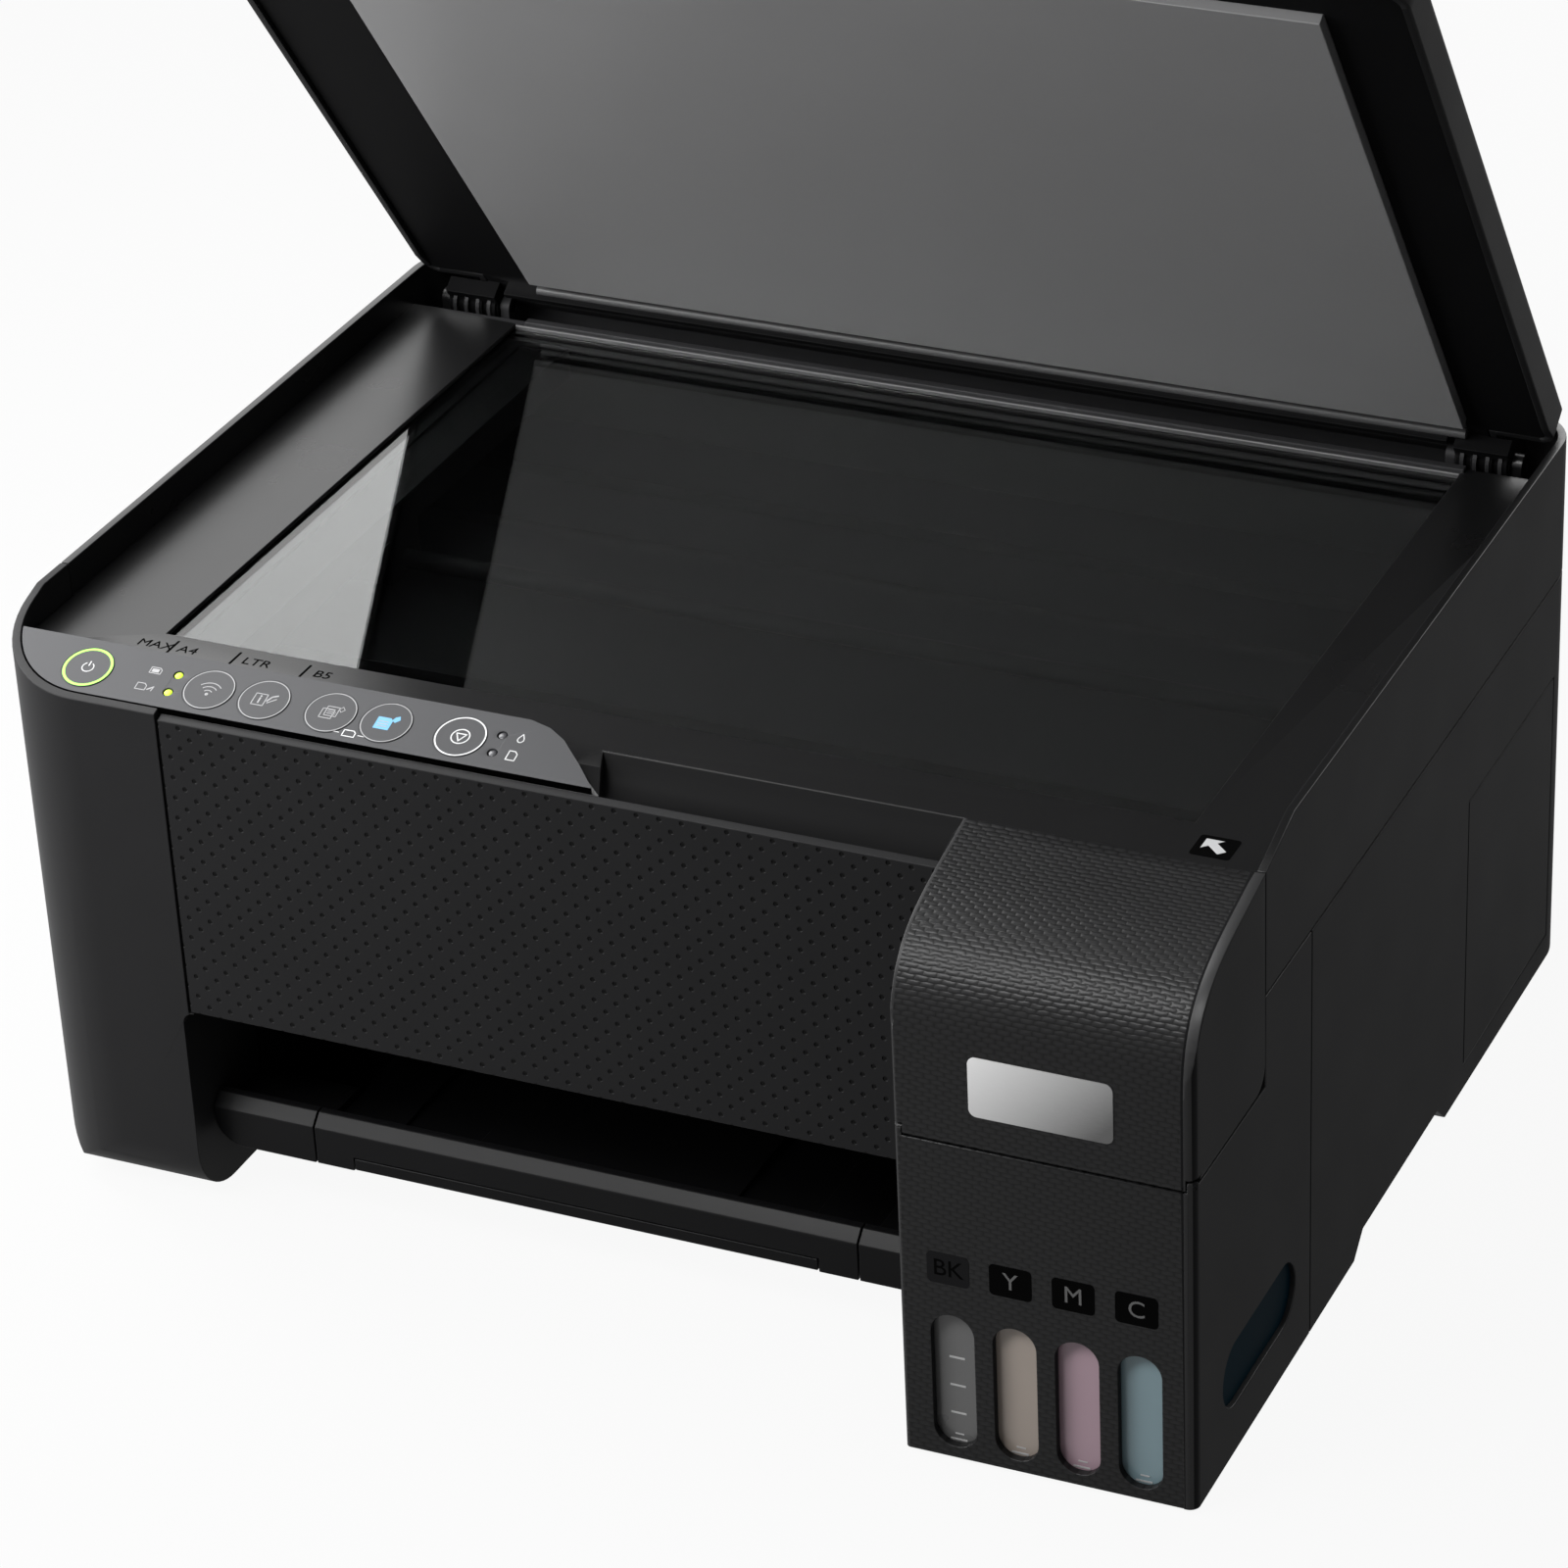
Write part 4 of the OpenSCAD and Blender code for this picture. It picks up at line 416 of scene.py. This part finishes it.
add_material(moulded, "strip_black", (0.014, 0.014, 0.0145), 0.4, grain=0.1, spec=0.2)
add_material(moulded, "bar_black", (0.02, 0.02, 0.021), 0.5, grain=0.05, spec=0.1)
add_material(moulded, "bead_black", (0.045, 0.045, 0.046), 0.4, grain=0.05, spec=0.3)
# Painted shade: near-black without gloss, for faces that stand for the shade in a gap
add_material(moulded, "gap_black", (0.0006, 0.0006, 0.0006), 0.7, spec=0.0)
add_material(moulded, "scoop_black", (0.006, 0.006, 0.0062), 0.5, spec=0.02)
add_material(moulded, "window_teal_shade", (0.0004, 0.0085, 0.0145), 0.5, grain=0.05, mottle=0.2,
             spec=0.01)
add_material(print_ink, "white_print", (0.5, 0.505, 0.51))
add_material(print_ink, "pale_print", (0.2, 0.202, 0.206))
add_material(print_ink, "blue_print", (0.05, 0.25, 0.45))
add_material(moulded, "dark_print", (0.002, 0.002, 0.002), 0.8, spec=0.0)
add_material(print_ink, "lime_light", (0.2, 0.62, 0.03), 0.5, 0.5)
add_material(print_ink, "amber_green_light", (0.5, 0.75, 0.03), 0.5, 0.7)
add_material(print_ink, "led_off", (0.045, 0.045, 0.05), 0.3)
add_material(moulded, "chip_dark", (0.0012, 0.0012, 0.0012), 0.5, grain=0.1, spec=0.01)
add_material(moulded, "chip_tone", (0.006, 0.006, 0.0065), 0.5, grain=0.1, spec=0.05)
add_material(print_ink, "level_print", (0.42, 0.42, 0.42))
add_material(print_ink, "grey_letters", (0.075, 0.075, 0.075))

SLOTS = {s["node"]: s["material_slot"] for s in frame["record"]["subparts"]}
BODY_OF = {n: b for b, row in frame["record"]["behaviour"]["bodies"].items() for n in row}
for node_name, node in frame["nodes"].items():
    node.data.materials.clear()
    node.data.materials.append(MAT[SLOTS[node_name]])


# ---------------------------------------------------------------- moulded edges

# Places where a moulding changes its finish, in mm
STRIP_X = 184.1  # the smooth strip along the tank unit's right edge starts here
TANK_LEFT_X = 104.9  # the tank unit's smooth left edge ends here
GROOVE_HALF = 0.35
GROOVE_DEPTH = 0.7
PANEL_GAP_X = -128.45  # the front panel's end beside the column
TROUGH = (118.9, 165)  # behind this y and within this half width lies the hinge trough
SCOOP_X = (-4, 103)
SCOOP_BACK_Y = -98
SCOOP_TOP_Z = 164.3
PANEL_CORNER = (-155.5, -105.5)
PANEL_CORNER_R = 28.4
PANEL_FRONT_Y = -134.0
PANEL_LEFT_X = -183.5


def cut_at(bm, x):
    """Cuts the faces along the upright plane at x, so that the two sides can differ."""
    geom = bm.verts[:] + bm.edges[:] + bm.faces[:]
    bmesh.ops.bisect_plane(bm, geom=geom, plane_co=(x * MM, 0, 0), plane_no=(1, 0, 0),
                           dist=0.001 * MM)


def groove_by_strip(bm):
    """Sinks the fine groove that sets off the smooth strip along the tank unit's right edge."""
    for x in (TANK_LEFT_X, STRIP_X - GROOVE_HALF, STRIP_X, STRIP_X + GROOVE_HALF):
        cut_at(bm, x)
    bm.normal_update()
    moves = []
    for v in bm.verts:
        if abs(v.co.x - STRIP_X * MM) < 0.01 * MM:
            normals = [f.normal for f in v.link_faces if abs(f.normal.x) < 0.5]
            total = sum(normals, Vector())
            if total.length > 0.1 and total.z - total.y > 0.3:
                moves.append((v, total.normalized() * GROOVE_DEPTH * MM))
    for v, step in moves:
        v.co -= step


def cut_for_panel_gap(bm):
    """Lets the front panel's end be painted as dark as the shaded gap beside it."""
    cut_at(bm, PANEL_GAP_X)


# Each zone function names the material of a face from its centre in mm and its normal, or None
# for the node's own material

def tank_zone(c, normal):
    # Painted shade: faces that look sideways get the darker copy of the black
    if abs(normal.x) > 0.7:
        return "side_black"
    return "strip_black" if c.x > STRIP_X or c.x < TANK_LEFT_X else None


def top_zone(c, normal):
    if c.y > TROUGH[0] and abs(c.x) < TROUGH[1]:
        return "bar_black"
    in_scoop = SCOOP_X[0] < c.x < SCOOP_X[1] and c.y < SCOOP_BACK_Y and c.z < SCOOP_TOP_Z
    if in_scoop and normal.y > -0.7 and normal.z > -0.5:
        return "scoop_black"
    if normal.z < 0.5 and normal.x * c.x + normal.y * c.y > 0:
        # Painted shade: right-facing outer faces get the darker copy of the black
        return "side_black" if normal.x > 0.7 else "body_black"
    return None


def side_zone(c, normal):
    # Painted shade: right-facing faces get the darker copy of the black
    return "side_black" if normal.x > 0.7 else None


def panel_zone(c, normal):
    """The panel's side faces are painted black, as the shade of the gap around it, so that its edge
    reads as a black line.
    """
    x, y = c.x - PANEL_CORNER[0], c.y - PANEL_CORNER[1]
    rim = math.hypot(x, y) > PANEL_CORNER_R if x < 0 and y < 0 else c.y < PANEL_FRONT_Y
    return "gap_black" if abs(normal.z) < 0.6 and (rim or c.x < PANEL_LEFT_X) else None


def front_zone(c, normal):
    # Painted shade: the front panel's end beside the column is black, like the gap
    return "gap_black" if c.x < PANEL_GAP_X else None


PREPARE = {"tank_cover": groove_by_strip, "tank_housing": groove_by_strip,
           "front_panel": cut_for_panel_gap}
ZONES = {"tank_cover": tank_zone, "tank_housing": tank_zone, "scanner_top": top_zone,
         "right_cover": side_zone, "service_cover": side_zone, "control_panel": panel_zone,
         "front_panel": front_zone}

WELD = 0.002
FLAT_ANGLE = math.radians(0.4)
EDGE_ANGLE = math.radians(32)
SHARP_ANGLE = math.radians(38)
AREA_DRIFT = 0.016
VOLUME_DRIFT = 0.015


def measures(bm):
    """Area and volume of a bmesh."""
    return sum(f.calc_area() for f in bm.faces), bm.calc_volume()


def rounded_copy(node_name, width, merge):
    """bmesh of a CAD mesh with rounded outer edges, and how far its area and volume moved."""
    bm = bmesh.new()
    bm.from_mesh(frame["nodes"][node_name].data)
    bmesh.ops.remove_doubles(bm, verts=bm.verts, dist=WELD * MM)
    before = measures(bm)
    if merge:
        bmesh.ops.dissolve_limit(bm, angle_limit=FLAT_ANGLE, verts=bm.verts, edges=bm.edges,
                                 use_dissolve_boundaries=False)
    if node_name in PREPARE:
        PREPARE[node_name](bm)
    edges = [e for e in bm.edges
             if len(e.link_faces) == 2 and e.is_convex and e.calc_length() > 2 * width * MM
             and e.calc_face_angle(0) > EDGE_ANGLE]
    rub = bm.faces.layers.float.new("rub")
    if width:
        made = bmesh.ops.bevel(bm, geom=edges, offset=width * MM, offset_type="OFFSET", segments=2,
                               profile=0.5, affect="EDGES", clamp_overlap=False)
        for face in made["faces"]:
            face[rub] = 1
    bmesh.ops.triangulate(bm, faces=[f for f in bm.faces if len(f.verts) > 4])
    drift = [abs(now / then - 1) for now, then in zip(measures(bm), before)]
    return bm, drift


def paint_zones(bm, zone):
    """Numbers each face's material slot by its zone, and returns the materials after the first."""
    names = [zone(face.calc_center_median() / MM, face.normal) for face in bm.faces]
    extra = sorted(set(names) - {None})
    for face, name in zip(bm.faces, names):
        face.material_index = 0 if name is None else 1 + extra.index(name)
    return extra


def dress(node_name, width):
    """Stands in for a CAD node with a copy whose outer edges are rounded over, as a moulding's are.

    Where a bevel changes the form too much, a plainer one is tried, and none as the last.
    """
    for size, merge in ((width, True), (width, False), (width / 2, False), (0, False)):
        bm, drift = rounded_copy(node_name, size, merge)
        if drift[0] < AREA_DRIFT and drift[1] < VOLUME_DRIFT:
            break
        bm.free()
    extra = paint_zones(bm, ZONES[node_name]) if node_name in ZONES else []
    me = to_mesh(bm, "dressed_" + node_name)
    piece = place(me, "dressed_" + node_name, BODY_OF[node_name], SLOTS[node_name])
    for name in extra:
        me.materials.append(MAT[name])
    me.shade_smooth()
    me.set_sharp_from_angle(angle=SHARP_ANGLE)
    if "bar_black" in extra:
        for face in me.polygons:
            if face.material_index == 1 + extra.index("bar_black"):
                face.use_smooth = False
    even = piece.modifiers.new("even", "WEIGHTED_NORMAL")
    even.keep_sharp = True
    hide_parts(node_name)


def to_mesh(bm, name):
    """Turns a bmesh into a mesh and frees it."""
    me = bpy.data.meshes.new(name)
    bm.to_mesh(me)
    bm.free()
    return me


def place(me, name, body, material):
    """Puts a mesh in the scene, with its first material, to ride on one body."""
    piece = bpy.data.objects.new(name, me)
    scene.collection.objects.link(piece)
    if me.materials:
        me.materials[0] = MAT[material]
    else:
        me.materials.append(MAT[material])
    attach(piece, body)
    return piece


# Width of each dressed node's rounded edges, in mm
DRESSED = {
    "left_cover": 0.3, "right_cover": 0.35, "service_cover": 0.3, "rear_cover": 0.3,
    "front_panel": 0.3, "front_sill": 0.3, "tank_housing": 0.3, "tank_cover": 0.3,
    "output_tray": 0.35, "tray_extension": 0.3, "scanner_top": 0.3, "control_panel": 0.2,
    "lid_shell": 0.5, "lid_inner": 0.25, "lid_pad": 0.3, "rear_feeder": 0.3, "paper_support": 0.3,
    "feeder_flap": 0.3, "edge_guide_left": 0.25, "edge_guide_right": 0.25, "ink_tank_black": 0.6,
    "ink_tank_yellow": 0.6, "ink_tank_magenta": 0.6, "ink_tank_cyan": 0.6, "filler_cap_black": 0.3,
    "filler_cap_yellow": 0.3, "filler_cap_magenta": 0.3, "filler_cap_cyan": 0.3,
    "mains_inlet": 0.25, "rubber_feet": 0.4, "print_carriage": 0.3, "maintenance_station": 0.3,
    "power_button": 0.12, "network_button": 0.12, "status_button": 0.12, "mono_copy_button": 0.12,
    "colour_copy_button": 0.12, "stop_button": 0.12, "scanner_tub": 0, "scan_carriage": 0.2,
    "platen_glass": 0,
}
for node_name, width in DRESSED.items():
    dress(node_name, width)


# ---------------------------------------------------------------- printed marks, in mm

PRINT_T = 0.05  # how far print stands above and reaches below its surface
FONT_PER_CAPITAL = 1.4  # Blender's font size over the height of its capitals


def extrude_shapes(shapes, top, bottom):
    """bmesh of flat outlines drawn out between two heights."""
    bm = bmesh.new()
    for outline in shapes:
        up = [bm.verts.new((x * MM, y * MM, top * MM)) for x, y in outline]
        down = [bm.verts.new((x * MM, y * MM, bottom * MM)) for x, y in outline]
        bm.faces.new(up)
        bm.faces.new(down[::-1])
        count = len(outline)
        for i in range(count):
            k = (i + 1) % count
            bm.faces.new((up[k], up[i], down[i], down[k]))
    bmesh.ops.recalc_face_normals(bm, faces=bm.faces)
    return bm


def mark(name, body, shapes, spot, material, top=PRINT_T, bottom=-PRINT_T):
    """Thin raised print on a surface; spot is the matrix of the surface."""
    bm = extrude_shapes(shapes, top, bottom)
    bm.transform(spot)
    place(to_mesh(bm, name), name, body, material)


def arc(x, y, r, a0, a1, steps):
    """Points along an arc between two angles in degrees."""
    angles = [math.radians(a0 + (a1 - a0) * i / steps) for i in range(steps + 1)]
    return [(x + r * math.cos(a), y + r * math.sin(a)) for a in angles]


def stroke(points, width, closed=False):
    """Quads that follow a line of points, each a little long so that they join at the turns."""
    pairs = list(zip(points, points[1:] + points[:1] if closed else points[1:]))
    quads = []
    h = width / 2
    for (x0, y0), (x1, y1) in pairs:
        length = math.hypot(x1 - x0, y1 - y0)
        if length < 1e-6:
            continue
        dx, dy = (x1 - x0) / length, (y1 - y0) / length
        over = h * 0.7
        x0, y0, x1, y1 = x0 - dx * over, y0 - dy * over, x1 + dx * over, y1 + dy * over
        quads.append([(x0 - dy * h, y0 + dx * h), (x0 + dy * h, y0 - dx * h),
                      (x1 + dy * h, y1 - dx * h), (x1 - dy * h, y1 + dx * h)])
    return quads


def ring(x, y, r, width, steps=64):
    inner = arc(x, y, r - width / 2, 0, 360, steps)
    outer = arc(x, y, r + width / 2, 0, 360, steps)
    return [[outer[i], outer[i + 1], inner[i + 1], inner[i]] for i in range(steps)]


def rounded(x0, y0, x1, y1, r, steps=6):
    """Rectangle with round corners."""
    return (arc(x1 - r, y0 + r, r, -90, 0, steps) + arc(x1 - r, y1 - r, r, 0, 90, steps)
            + arc(x0 + r, y1 - r, r, 90, 180, steps) + arc(x0 + r, y0 + r, r, 180, 270, steps))


def letters(name, body, text, size, spot, material):
    """A word as a thin mesh, centred on its spot; size is its capitals' height."""
    curve = bpy.data.curves.new(name, "FONT")
    curve.body = text
    curve.size = size * MM * FONT_PER_CAPITAL
    curve.align_x = "CENTER"
    curve.align_y = "CENTER"
    curve.extrude = PRINT_T * MM
    curve.resolution_u = 4
    temp = bpy.data.objects.new(name + "_curve", curve)
    scene.collection.objects.link(temp)
    graph = bpy.context.evaluated_depsgraph_get()
    me = bpy.data.meshes.new_from_object(temp.evaluated_get(graph))
    me.name = name
    me.transform(spot)
    bpy.data.objects.remove(temp)
    bpy.data.curves.remove(curve)
    place(me, name, body, material)


PANEL_FALL = 0.31  # of the sloping panel for each millimetre forward of NOSE_Y
PANEL_TILT = math.atan(PANEL_FALL)
RIM_Z = 174.7
DECK_Z = 164.7
NOSE_Y = -99.5
BUTTON_Y = -125.7


def on_panel(x, y=BUTTON_Y, lift=0.0):
    """Matrix of a spot on the sloping panel."""
    z = RIM_Z - PANEL_FALL * (NOSE_Y - y)
    tilt = Matrix.Rotation(PANEL_TILT, 4, "X")
    return Matrix.Translation(Vector((x, y, z)) * MM) @ tilt @ Matrix.Translation((0, 0, lift * MM))


def flat_at(x, y, z):
    return Matrix.Translation(Vector((x, y, z)) * MM)


def front_at(x, y, z):
    """Surface that looks forward, with X along it and Y upward."""
    return flat_at(x, y, z) @ Matrix.Rotation(math.pi / 2, 4, "X")


# Where each button stands along the panel; its ring and glyph are printed on its face
BUTTONS = {"power_button": -156.5, "network_button": -118.3, "status_button": -101.2,
           "mono_copy_button": -80.6, "colour_copy_button": -63.7, "stop_button": -41.2}
BUTTON_LIFT = 0.15
RING_R = 7.25
SEAL_R = 7.67
# Ink and line width of the rings that stand out
RINGS = {"power_button": ("lime_light", 0.8), "stop_button": ("white_print", 0.42)}
PLAIN_RING = ("pale_print", 0.26)


def page(x, y, w, h, fold=0.0):
    """Outline of a sheet with a folded corner."""
    return [(x, y), (x + w, y), (x + w, y + h - fold), (x + w - fold, y + h), (x, y + h)]


def bars(x0, x1, heights, thick):
    """Level bars of one width, each starting at one of the heights."""
    return [[(x0, y), (x1, y), (x1, y + thick), (x0, y + thick)] for y in heights]


def waves(radii):
    """Arcs of a wireless sign."""
    return [quad for r, steps in radii for quad in stroke(arc(0, -1.8, r, 45, 135, steps), 0.3)]


GLYPHS = {
    "power_button": stroke(arc(0, 0, 1.7, 125, 415, 16), 0.28) + stroke([(0, 0.6), (0, 2.2)], 0.28),
    "network_button": waves([(1.5, 6), (2.9, 8), (4.3, 10)]) + ring(0, -1.8, 0.3, 0.4, 10),
    "status_button": (
        stroke(page(-3.2, -2.2, 3.6, 4.2), 0.26, True) + stroke([(-1.4, -1.3), (-1.4, 0.5)], 0.45)
        + [arc(-1.4, 1.2, 0.32, 0, 330, 8)] + stroke([(0.9, -0.2), (1.9, 1.5), (3.3, 2.2)], 0.5)
        + stroke([(1.2, -0.9), (3.4, 0.9)], 0.3)),
    "mono_copy_button": (
        stroke(page(-2.8, -2.3, 3.6, 3.4), 0.26, True)
        + stroke(page(-1.7, -1.3, 3.6, 3.4), 0.26, True)
        + bars(-1.2, 1.4, (-0.6, 0.1), 0.25) + bars(-1.2, 0.6, (0.8,), 0.25)
        + stroke([(2.7, 0.6), (3.6, 1.6), (2.7, 2.6), (1.9, 1.6)], 0.2, True)),
    "stop_button": (
        ring(0, 0, 2.6, 0.34, 32) + stroke([(-1.5, 1.0), (1.5, 1.0), (0, -1.7)], 0.34, True)),
}
for button, x in BUTTONS.items():
    face = on_panel(x, lift=BUTTON_LIFT)
    ink, thick = RINGS.get(button, PLAIN_RING)
    mark(button + "_ring", button, ring(0, 0, RING_R - thick / 2, thick), face, ink)
    mark(button + "_seal", "scanner_unit", ring(0, 0, SEAL_R, 0.44), on_panel(x), "panel_grey",
         -0.1, -0.3)
    if button in GLYPHS:
        glyph_ink = "white_print" if button in RINGS else "pale_print"
        mark(button + "_glyph", button, GLYPHS[button], face, glyph_ink)
blue = on_panel(BUTTONS["colour_copy_button"], lift=BUTTON_LIFT)
mark("colour_glyph_sheet", "colour_copy_button", [page(-3.0, -2.6, 4.6, 4.4, 0.8)], blue,
     "blue_print", 0.04)
mark("colour_glyph_lines", "colour_copy_button", bars(-2.3, 0.8, (-1.7, -0.8, 0.1), 0.3), blue,
     "pale_print", 0.07)
mark("colour_glyph_spark", "colour_copy_button",
     [[(1.3, 1.2), (2.4, 0.4), (3.6, 1.7), (3.0, 3.0), (1.9, 2.4)]], blue, "blue_print", 0.04)

# Signs on the panel beside the buttons
LED_R = 1.2
LED_FLATNESS = 0.35
for side, (x, glow) in enumerate(((-129.6, "amber_green_light"), (-30.1, "led_off"))):
    for k, dy in enumerate((3.2, -3.2)):
        led = bmesh.new()
        bmesh.ops.create_uvsphere(led, u_segments=20, v_segments=10, radius=LED_R * MM)
        for v in led.verts:
            v.co.z *= LED_FLATNESS
        led.transform(on_panel(x, BUTTON_Y + dy, -LED_R * LED_FLATNESS))
        me = to_mesh(led, "lamp")
        me.shade_smooth()
        place(me, "lamp_%d%d" % (side, k), "scanner_unit", glow)
signs = on_panel(0, BUTTON_Y)
left_signs = (stroke(page(-138.4, 2.3, 3.4, 2.2, 0.7), 0.25, True) + [page(-137.9, 2.7, 2.2, 1.3)]
              + stroke(page(-139.6, -4.3, 3.0, 2.4, 0.8), 0.25, True)
              + stroke([(-135.9, -3.9), (-134.4, -2.6)], 0.4)
              + stroke([(-134.6, -4.2), (-134.4, -2.6)], 0.3))
mark("left_signs", "scanner_unit", left_signs, signs, "pale_print")
drop = [(-24.4, 4.9), (-25.2, 3.4), (-25.3, 2.6), (-24.9, 2.0), (-24.4, 1.8), (-23.9, 2.0),
        (-23.5, 2.6), (-23.6, 3.4)]
sheet = page(-25.6, -4.9, 2.6, 3.3, 0.9)
mark("right_signs", "scanner_unit", stroke(drop, 0.3, True) + stroke(sheet, 0.3, True), signs,
     "white_print")
middle = (stroke(page(-74.0, -7.2, 3.6, 2.2, 0.7), 0.3, True)
          + stroke([(-79.6, -4.6), (-79.6, -6.3), (-75.2, -6.3)], 0.22)
          + stroke([(-69.4, -6.3), (-64.7, -6.3), (-64.7, -4.6)], 0.22))
mark("middle_signs", "scanner_unit", middle, signs, "white_print")

# Paper marks on the deck, ahead of the glass
MARKS = [(-147.5, "MAX"), (-137.4, "A4"), (-115.6, "LTR"), (-94.9, "B5")]
for k, (x, word) in enumerate(MARKS):
    letters("deck_word_%d" % k, "scanner_unit", word, 3.7, flat_at(x, -104.4, DECK_Z), "dark_print")
ticks = []
for x in (-142.3, -122.6, -100.6):
    ticks += [[(x - 0.35, -107.6), (x + 0.35, -107.6), (x + 0.35, -100.4), (x - 0.35, -100.4)]]
mark("deck_ticks", "scanner_unit", ticks, flat_at(0, 0, DECK_Z), "dark_print")

# Corner arrow beside the glass
chip = flat_at(168.8, -108.3, DECK_Z)
mark("arrow_chip", "scanner_unit", [rounded(-5.6, -5.2, 5.6, 5.2, 1.0)], chip, "chip_dark", 0.12)
arrow = [(-3.6, 3.4), (1.4, 3.4), (-0.1, 1.9), (3.6, -1.6), (1.8, -3.4), (-1.9, 0.1), (-3.6, -1.6)]
mark("arrow_print", "scanner_unit", [arrow], chip, "white_print", 0.2, 0.1)


# ---------------------------------------------------------------- tank unit

TANK_FRONT_Y = -173.5
# The plate's bright-to-dark colour is a painted sheen
mark("silver_plate", "tank_cover", [rounded(-20, -9.0, 20, 9.0, 2.2)],
     front_at(145.5, TANK_FRONT_Y, 121), "plate_silver", 0.25, -0.2)
CHIP_T = 0.1
TANK_X = [118.7 + 17.7 * i for i in range(4)]
for x, word in zip(TANK_X, ("BK", "Y", "M", "C")):
    spot = front_at(x - 0.6, TANK_FRONT_Y, 62.2)
    tone, ink = ("chip_tone", "chip_dark") if word == "BK" else ("chip_dark", "grey_letters")
    mark("chip_" + word, "base", [rounded(-6, -4.8, 6, 4.8, 1.3)], spot, tone, CHIP_T)
    letters("chip_letter_" + word, "base", word, 5.2, spot @ flat_at(0, 0, CHIP_T), ink)

# Level marks on the tanks, seen through the windows
TANK_FACE_Y = -170.75
for i, x in enumerate(TANK_X):
    lines = bars(-2.6, 2.2, (5.3,), 0.5) + bars(-1.2, 1.4, (7.2,), 0.4)
    if i == 0:
        lines += bars(-2.2, 2.2, (14, 23, 32), 0.6)
    mark("level_%d" % i, "base", lines, front_at(x, TANK_FACE_Y, 0), "level_print", 0.06, -0.06)

# Dark teal pane behind the side window: a teal like the ink's, darkened as painted shade of the
# housing's inside
pane = flat_at(186.0, -125.5, 27) @ Matrix.Rotation(math.pi / 2, 4, "Z")
pane = pane @ Matrix.Rotation(math.pi / 2, 4, "X")
mark("side_pane", "base", [rounded(-27.8, -9.8, 27.8, 9.8, 9.7, 16)], pane, "window_teal_shade", 0, -0.8)



# ---------------------------------------------------------------- hinge line and glass edge

LID_AXIS = (134, 163)  # y and z of the lid's hinge
OPEN_TURN = math.radians(-53.7)


def round_bars(rows, sides):
    """bmesh of round bars; each row is x0, x1, y, z and radius."""
    bm = bmesh.new()
    turns = [math.tau * k / sides for k in range(sides)]
    for x0, x1, y, z, r in rows:
        ends = [[bm.verts.new(Vector((x, y + r * math.cos(t), z + r * math.sin(t))) * MM)
                 for t in turns] for x in (x0, x1)]
        for k in range(sides):
            j = (k + 1) % sides
            bm.faces.new((ends[0][k], ends[0][j], ends[1][j], ends[1][k]))
        bm.faces.new(ends[0][::-1])
        bm.faces.new(ends[1])
    bmesh.ops.recalc_face_normals(bm, faces=bm.faces)
    return bm


# Round beads under the lid along its hinge, placed for the closed lid and turned with it
BEADS = [(-145.0, 157.5, 121.2, 168.1, 2.0), (-145.0, 157.5, 124.3, 165.3, 1.6)]
beads = round_bars(BEADS, 24)
axis = flat_at(0, *LID_AXIS)
beads.transform(axis @ Matrix.Rotation(OPEN_TURN, 4, "X") @ axis.inverted())
bead_mesh = to_mesh(beads, "hinge_beads")
bead_mesh.shade_smooth()
bead_mesh.set_sharp_from_angle(angle=math.radians(40))
place(bead_mesh, "hinge_beads", BODY_OF["lid_inner"], "bead_black")

# Bead that holds the glass down along its rear edge, and dark print under that edge
profile = [(118.75, 163.2), (119.35, 163.2), (119.35, 164.6), (118.95, 164.6), (118.75, 164.3)]
along = Matrix(((0, 0, 1, 0), (1, 0, 0, 0), (0, 1, 0, 0), (0, 0, 0, 1)))
mark("glass_bead", "scanner_unit", [profile], along, "bead_black", 159.0, -147.9)
under = [(-149, 116.6), (160, 116.6), (160, 120.0), (-149, 120.0)]
mark("glass_edge_print", "scanner_unit", [under], flat_at(0, 0, 160.27), "gap_black", 0.03, -0.03)

# Ribs around the lid's hinge barrels
RIB_R = 5.85
rib_x = [x0 + 2.6 + 3.9 * i for x0 in (-176.5, 154.0) for i in range(4)]
ribs = round_bars([(x - 0.6, x + 0.6, *LID_AXIS, RIB_R) for x in rib_x], 32)
place(to_mesh(ribs, "hinge_ribs"), "hinge_ribs", BODY_OF["lid_inner"], "bar_black")
